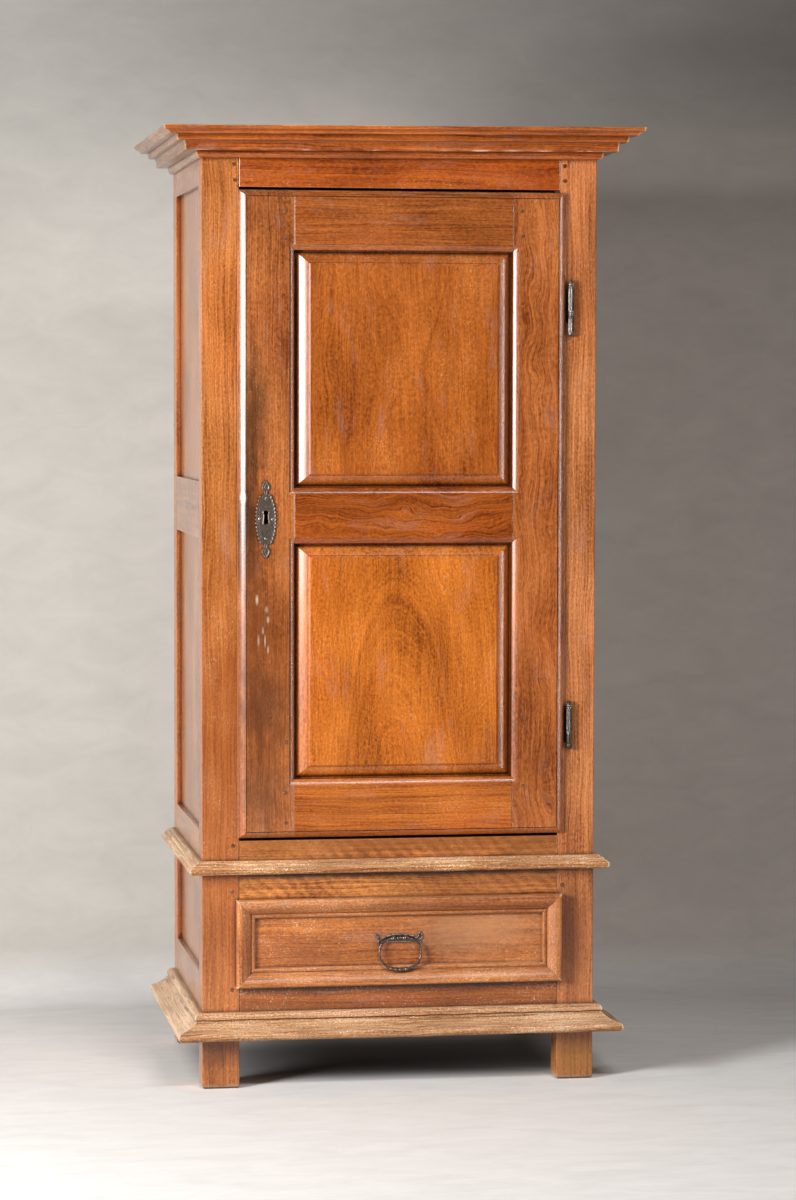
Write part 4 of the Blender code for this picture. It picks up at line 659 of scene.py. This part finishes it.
# Plate behind the ring: an upper and a lower edge over the width, eased between their points, with
# a scalloped crest and a tail at each end; it is thicker in the middle than at the edges
backLook = {
    "face": drawerFace - fit, "half": 44.5, "columns": 230, "rows": 15, "thick": 1.2, "swellMm": 1.1,
    "fullHigh": 12, "leastHigh": 0.8, "swellPower": 0.7,
    "easeMm": 1.3, "stepMm": 0.25, "easeSteps": 20, "easeHalf": 55.0,
    "top": {-45: -7.0, -42: -4.0, -38: -1.0, -32: 2.0, -26: 5.5, -22: 4.5, -15: 8.0, -11: 6.8, -5: 8.6,
            0: 7.4, 5: 8.8, 12: 6.8, 17: 7.8, 23: 4.5, 28: 4.5, 34: 1.0, 38: 0.5, 42: -4.0, 45: -9.0},
    "low": {-45: -15.0, -42.5: -17.0, -40: -11.0, -36: -7.5, -28: -8.0, -20: -8.5, 20: -8.5, 28: -8.0,
            36: -7.0, 40: -9.0, 43: -13.0, 45: -12.0},
}
plateX = np.linspace(-backLook["half"], backLook["half"], backLook["columns"])
fine = np.arange(-backLook["easeHalf"], backLook["easeHalf"], backLook["stepMm"])
nearby = np.arange(-backLook["easeSteps"], backLook["easeSteps"] + 1) * backLook["stepMm"]
kernel = np.exp(-(nearby / backLook["easeMm"]) ** 2)
edges = []
for edge in (backLook["top"], backLook["low"]):
    eased = np.convolve(np.interp(fine, list(edge), list(edge.values())), kernel / kernel.sum(), "same")
    edges.append(np.interp(plateX, fine, eased)[:, None])
topEdge, lowEdge = edges
rising = np.linspace(0, 1, backLook["rows"])[None]
z = lowEdge + np.maximum(topEdge - lowEdge, backLook["leastHigh"]) * rising
swell = (1 - (2 * rising - 1) ** 2) ** backLook["swellPower"]
swell = np.clip((topEdge - lowEdge) / backLook["fullHigh"], 0, 1) * swell
proud = backLook["thick"] + backLook["swellMm"] * swell
z, proud = np.concatenate([z, z[:, -1:], z[:, :1]], 1), np.concatenate([proud, 0 * z[:, :2]], 1)
pullPlate = pointsAt(plateX[:, None], backLook["face"] - proud, ringLook["axis"][2] + z)
addPiece("pullPlate", pullPlate, iron, "drawer", ("pull_backplate",))
# a scroll at left and a looped leaf at right: a thinning round bar carried along an eased path
scrollLook = {
    "radius": 1.7, "thin": 0.55, "proud": 1.5, "steps": 90, "sides": 12, "easeSteps": 5, "easeReach": 12,
    "paths": (
        [(-36, -3), (-41, -5), (-44, -2.5), (-44.3, 1.5), (-43.9, 4.8), (-45.6, 7.8), (-48.8, 8.0),
         (-50.9, 5.4), (-49.8, 2.3), (-47.0, 1.8), (-46.0, 4.0)],
        [(32, -2), (37, -2.0), (39.6, 2.5), (40.6, 8.5), (41.6, 13.5), (43.8, 9.5), (46.6, 5.2),
         (47.6, 0.6), (45.4, -3.6), (41.6, -4.2), (39.4, -1.4)]),
}
easeReach = scrollLook["easeReach"]
easing = np.exp(-(np.arange(-easeReach, easeReach + 1) / scrollLook["easeSteps"]) ** 2)
easing /= easing.sum()
spin = around(scrollLook["sides"])
scrolls = []
for path in scrollLook["paths"]:
    knots = np.array(path, float)
    reached = np.concatenate([[0], np.cumsum(np.hypot(*np.diff(knots, axis=0).T))])
    even = np.linspace(0, reached[-1], scrollLook["steps"])
    padded = (np.pad(np.interp(even, reached, along), easeReach, "edge") for along in knots.T)
    path = np.stack([np.convolve(along, easing, "valid") for along in padded], -1)
    ahead = np.gradient(path, axis=0)
    ahead /= np.hypot(*ahead.T)[:, None]
    thick = scrollLook["radius"] * np.linspace(1, scrollLook["thin"], len(path))[:, None]
    side, front = thick * np.cos(spin), thick * np.sin(spin)
    scrolls.append(pointsAt(path[:, :1] + side * ahead[:, 1:],
                            backLook["face"] - scrollLook["proud"] - front,
                            ringLook["axis"][2] + path[:, 1:] - side * ahead[:, :1]))
addPiece("pullScrolls", scrolls, rubbedIron, "drawer", ("pull_backplate",))
# two eyes on the ring's bar: an oval section turned about the bar
eyeLook = {"radius": 4.75, "wide": 1.2, "long": 3.0, "at": (-12.5, 12.5), "sides": 24, "sectionSides": 14}
swing = around(eyeLook["sectionSides"])
eye = pointsAt(eyeLook["radius"] + eyeLook["wide"] * np.cos(swing), eyeLook["long"] * np.sin(swing))
eyes = [turned(eye, (x, *ringLook["axis"][1:]), (1, 0, 0), eyeLook["sides"]) for x in eyeLook["at"]]
addPiece("pullEyes", eyes, iron, "drawer", ("pull_backplate",), wrapRows=True)
print("drawer pull made")

# Hinges: the barrels are rolled plate, so a lip of the seam stands along each of them, and filed
# collars go round their ends; strip and collars are thin sections carried along or turned
hingeLook = {
    "axis": (352.0, -255.1), "radius": 5.3, "sunk": 0.1,
    "collarMm": 1.0, "collarHalf": 1.3, "collarIn": 1.5, "secondIn": 6.0, "collarSides": 28,
    "seamAt": (205.0, 235.0, 268.0), "seamMm": 0.8, "seamHalf": 7, "seamFoot": 3, "seamHead": 9,
    "seamRows": 24, "bend": 0.012, "bendMm": 9.0,
    "knuckles": {"upperDoor": ("door", 1584.0, 1642.0), "upperCase": ("case", 1540.0, 1580.0),
                 "lowerDoor": ("door", 721.0, 779.0)},
    "slots": ((1562.0, 1631.0), (700.0, 768.0)), "slotRows": 8,
    "slotX": (342.9, 347.4), "slotY": (-0.5, 0.4),
}
barrel = hingeLook["radius"] - hingeLook["sunk"]
collarOut, collarUp = hingeLook["collarMm"] * np.cos(swing), hingeLook["collarHalf"] * np.sin(swing)
collar = pointsAt(barrel + collarOut, collarUp)
seamTurn = np.radians(np.array(hingeLook["seamAt"]))[:, None, None]
seamAngle = seamTurn + np.radians(hingeLook["seamHalf"]) * np.cos(swing)
seamRadius = barrel + hingeLook["seamMm"] * np.sin(swing)
for knuckle, (body, foot, head) in hingeLook["knuckles"].items():
    centre = (*hingeLook["axis"], 0.0)
    places = [foot + hingeLook["collarIn"], head - hingeLook["collarIn"]]
    places += [head - hingeLook["secondIn"]] if body == "door" else []
    collars = [turned(collar + (0, place), centre, (0, 0, 1), hingeLook["collarSides"]) for place in places]
    addPiece(knuckle + "Collars", collars, rubbedIron, body, wrapRows=True)
    ends = foot + hingeLook["seamFoot"], head - hingeLook["seamHead"]
    height = np.linspace(*ends, hingeLook["seamRows"])[None, :, None]
    angle = seamAngle + hingeLook["bend"] * np.sin((height - foot) / hingeLook["bendMm"])
    seam = pointsAt(centre[0] + seamRadius * np.cos(angle), centre[1] + seamRadius * np.sin(angle), height)
    addPiece(knuckle + "Seam", seam, rubbedIron, body)
# the leaves let into the posts are near black, painted shade for the black slots beside the barrels: a flat
# bar, corner by corner
slotX = np.array(hingeLook["slotX"])[[0, 1, 1, 0]]
slotY = caseFront + np.array(hingeLook["slotY"])[[0, 0, 1, 1]]
heights = [np.linspace(*ends, hingeLook["slotRows"])[:, None] for ends in hingeLook["slots"]]
leaves = [pointsAt(slotX, slotY, height) for height in heights]
addPiece("hingeLeaves", leaves, shadeBlackIron, "case")
print("hinges finished")

# Pegs of the joints: low whittled domes, a little out of round, darker end grain
pegLook = {
    "radius": 4.6, "proud": 0.5, "sides": 14, "outOfRound": 0.5, "whittles": 1.3,
    "case": [(-340.1, 1878.0), (-338.1, 1846.0), (-343.1, 498.2), (-345.2, 404.0), (-345.3, 202.9),
             (339.4, 1882.1), (339.6, 1851.6), (340.3, 404.6)],
    "door": [(-236.5, 1784.3), (-236.5, 1730.1), (247.6, 1789.1), (249.9, 1738.4), (-236.3, 710.5),
             (-237.3, 606.4), (-236.2, 545.0), (254.6, 613.0)],
}
pegWood = waxedWalnut("walnut end grain pegs", "y", 77.0, colour="#7c4826", wear=0.0)
pegProfile = pointsAt(pegLook["radius"] * np.cos(dome), pegLook["proud"] * np.sin(dome))
for body, face in (("case", caseFront), ("door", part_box("door_rail_middle")[0][1] * 1000)):
    domes = [turned(pegProfile, (x, face, z), (0, -1, 0), pegLook["sides"]) for x, z in pegLook[body]]
    domes = np.array(domes)
    domes[..., 0] += pegLook["outOfRound"] * np.sin(domes[..., 2] * pegLook["whittles"])
    addPiece(body + "Pegs", domes, pegWood, body)
print("pegs set")

# floor, sweep and wall; the wall's paint goes from pale at left to grey brown at right and darkens upward,
# painted light and shade for the lamps' falloff and the cupboard's shadow
stageLook = {
    "halfWidth": 7.0, "front": -10.0, "wallAt": 1.05, "sweep": 0.30, "height": 5.0, "floor": "#fdfbf8",
    # painted light and shade on the wall: paler low at right, darker toward the top
    "leftLow": "#cbc8c0", "rightLow": "#f6ece4", "leftTop": "#b7b4ad", "rightTop": "#857e79",
    "leftFade": (1.1, 2.4), "rightFade": (1.72, 2.28), "acrossFade": (-1.3, 1.5), "floorFade": (0.0, 0.12),
    "trowel": (7.0, 17.0, 14.0), "trowelEdges": (0.3, 0.7), "trowelTones": (0.93, 1.05),
    "roughness": 0.8, "bounce": 0.45, "sweepRows": 12,
    # painted shadow under the cupboard: its strength, and where it fades in across, at the front and at the
    # back
    "dirt": 0.75, "dirtSide": (0.43, 0.33), "dirtFront": (-0.22, -0.08), "dirtBack": (0.42, 0.15),
}


def paintedConcrete(look):
    material, tree, shader = newMaterial("painted concrete")
    spot = addNode(tree, "TexCoord", out="Object")
    x, y, z = addNode(tree, "SeparateXYZ", {0: spot}, out=None).outputs
    aside = addNode(tree, "Math", (x,), operation="ABSOLUTE")
    places = {"leftFade": z, "rightFade": z, "acrossFade": x, "floorFade": z,
              "dirtSide": aside, "dirtFront": y, "dirtBack": y}
    fades = {}
    for fade, place in places.items():
        most = look["dirt"] if fade == "dirtSide" else 1.0
        faded = place, *look[fade], 0.0, most
        fades[fade] = addNode(tree, "MapRange", faded, interpolation_type="SMOOTHSTEP")
    halves = []
    for half in ("left", "right"):
        blended = {0: fades[half + "Fade"], 6: tint(look[half + "Low"]), 7: tint(look[half + "Top"])}
        halves.append(addNode(tree, "Mix", blended, 2, data_type="RGBA"))
    blended = {0: fades["acrossFade"], 6: halves[0], 7: halves[1]}
    wall = addNode(tree, "Mix", blended, 2, data_type="RGBA")
    blended = {0: fades["floorFade"], 6: tint(look["floor"]), 7: wall}
    paint = addNode(tree, "Mix", blended, 2, data_type="RGBA")
    # trowel marks and dust
    laid = addNode(tree, "VectorMath", (spot, look["trowel"]), operation="MULTIPLY")
    marks = {"Vector": laid, "Scale": 1.0, "Detail": 6.0, "Roughness": 0.65, "Distortion": 0.6}
    cloudy = addNode(tree, "TexNoise", marks)
    shade = addNode(tree, "MapRange", (cloudy, *look["trowelEdges"], *look["trowelTones"]))
    # painted shadow on the floor under the cupboard, darkest in its footprint
    under = addNode(tree, "Math", (fades["dirtFront"], fades["dirtBack"]), operation="MULTIPLY")
    under = addNode(tree, "Math", (fades["dirtSide"], under), operation="MULTIPLY")
    unshadowed = addNode(tree, "Math", (1.0, under), operation="SUBTRACT")
    shade = addNode(tree, "Math", (shade, unshadowed), operation="MULTIPLY")
    # it looks paler than the light it scatters back on the cupboard
    ray = addNode(tree, "LightPath", out=None).outputs
    straight = addNode(tree, "Math", (ray["Is Camera Ray"], ray["Is Glossy Ray"]), operation="ADD")
    straight = addNode(tree, "Math", (straight, ray["Is Transmission Ray"]), operation="ADD")
    straight = addNode(tree, "MapRange", (straight, 0.0, 1.0, look["bounce"], 1.0))
    shade = addNode(tree, "Math", (shade, straight), operation="MULTIPLY")
    paint = addNode(tree, "VectorMath", {0: paint, "Scale": shade}, operation="SCALE")
    tree.links.new(paint, shader.inputs["Base Color"])
    shader.inputs["Roughness"].default_value = look["roughness"]
    # seen from behind it is clear
    back = addNode(tree, "NewGeometry", out="Backfacing")
    mixed = addNode(tree, "MixShader", {0: back, 1: shader.outputs[0], 2: addNode(tree, "BsdfTransparent")})
    tree.links.new(mixed, tree.nodes["Material Output"].inputs["Surface"])
    return material


def makeStage(look):
    # one strip: floor line, a quarter round, wall line, carried across the width
    bend = np.linspace(0, np.pi / 2, look["sweepRows"])
    quarter = look["wallAt"] - look["sweep"] + look["sweep"] * np.sin(bend)
    y = np.concatenate([[look["front"]], quarter, [look["wallAt"]]])
    z = np.concatenate([[0], look["sweep"] * (1 - np.cos(bend)), [look["height"]]])
    x = np.array([-1, 1]) * look["halfWidth"]
    points = pointsAt(np.repeat(x, len(y)), np.tile(y, 2), np.tile(z, 2))
    k = np.arange(len(y) - 1)
    faces = np.stack([k, k + len(y), k + len(y) + 1, k + 1], -1)
    mesh = bpy.data.meshes.new("studioSweep")
    mesh.from_pydata(points.tolist(), [], faces.tolist())
    mesh.polygons.foreach_set("use_smooth", np.ones(len(faces), bool))
    mesh.materials.append(paintedConcrete(look))
    sweep = bpy.data.objects.new("studioSweep", mesh)
    bpy.context.scene.collection.objects.link(sweep)


makeStage(stageLook)

lampLook = {
    "key": {"at": (-3.52, -2.54, 1.6), "aim": (0, -0.25, 1.3), "size": (1.1, 1.2),
            "watts": 230, "spread": 180},
    "overhead": {"at": (0.5, -3.4, 3.6), "aim": (0.2, -1.0, 0), "size": (1.7, 0.4),
                 "watts": 20, "spread": 100},
    "strip": {"at": (2.9, -1.35, 1.3), "aim": (0, -0.25, 1.1), "size": (0.2, 2.2),
              "watts": 3.2, "spread": 60},
}
for name, lamp in lampLook.items():
    data = bpy.data.lights.new(name, "AREA")
    data.shape = "RECTANGLE"
    data.size, data.size_y = lamp["size"]
    data.energy = lamp["watts"]
    data.spread = math.radians(lamp["spread"])
    light = bpy.data.objects.new(name, data)
    light.location = lamp["at"]
    aim = Vector(lamp["aim"]) - Vector(lamp["at"])
    light.rotation_euler = aim.to_track_quat("-Z", "Y").to_euler()
    bpy.context.scene.collection.objects.link(light)

worldLook = {"Color": tint("#f2e6dc"), "Strength": 0.04}
world = bpy.data.worlds.new("studio")
bpy.context.scene.world = world
world.use_nodes = True
for socket, value in worldLook.items():
    world.node_tree.nodes["Background"].inputs[socket].default_value = value

# the photograph's camera: place in metres, angles in degrees, focal length in pixels of its height
cameraLook = {"at": (-1.1667, -7.4622, 1.4238), "turn": 9.154, "down": 3.343, "roll": 0.116,
              "focalPx": 3586.5, "heightPx": 1200, "sensorMm": 36.0}
data = bpy.data.cameras.new("camera")
data.sensor_width = cameraLook["sensorMm"]
data.lens = cameraLook["focalPx"] * cameraLook["sensorMm"] / cameraLook["heightPx"]
camera = bpy.data.objects.new("camera", data)
turn, down, roll = (math.radians(cameraLook[k]) for k in ("turn", "down", "roll"))
ahead = Vector((math.sin(turn) * math.cos(down), math.cos(turn) * math.cos(down), -math.sin(down)))
right = Vector((math.cos(turn), -math.sin(turn), 0))
up = right.cross(ahead)
right, up = right * math.cos(roll) + up * math.sin(roll), up * math.cos(roll) - right * math.sin(roll)
pose = Matrix((right, up, -ahead)).transposed().to_4x4()
pose.translation = cameraLook["at"]
camera.matrix_world = pose
bpy.context.scene.collection.objects.link(camera)
bpy.context.scene.camera = camera
bpy.context.scene.view_settings.view_transform = "Standard"
print("stage, lamps and camera set")
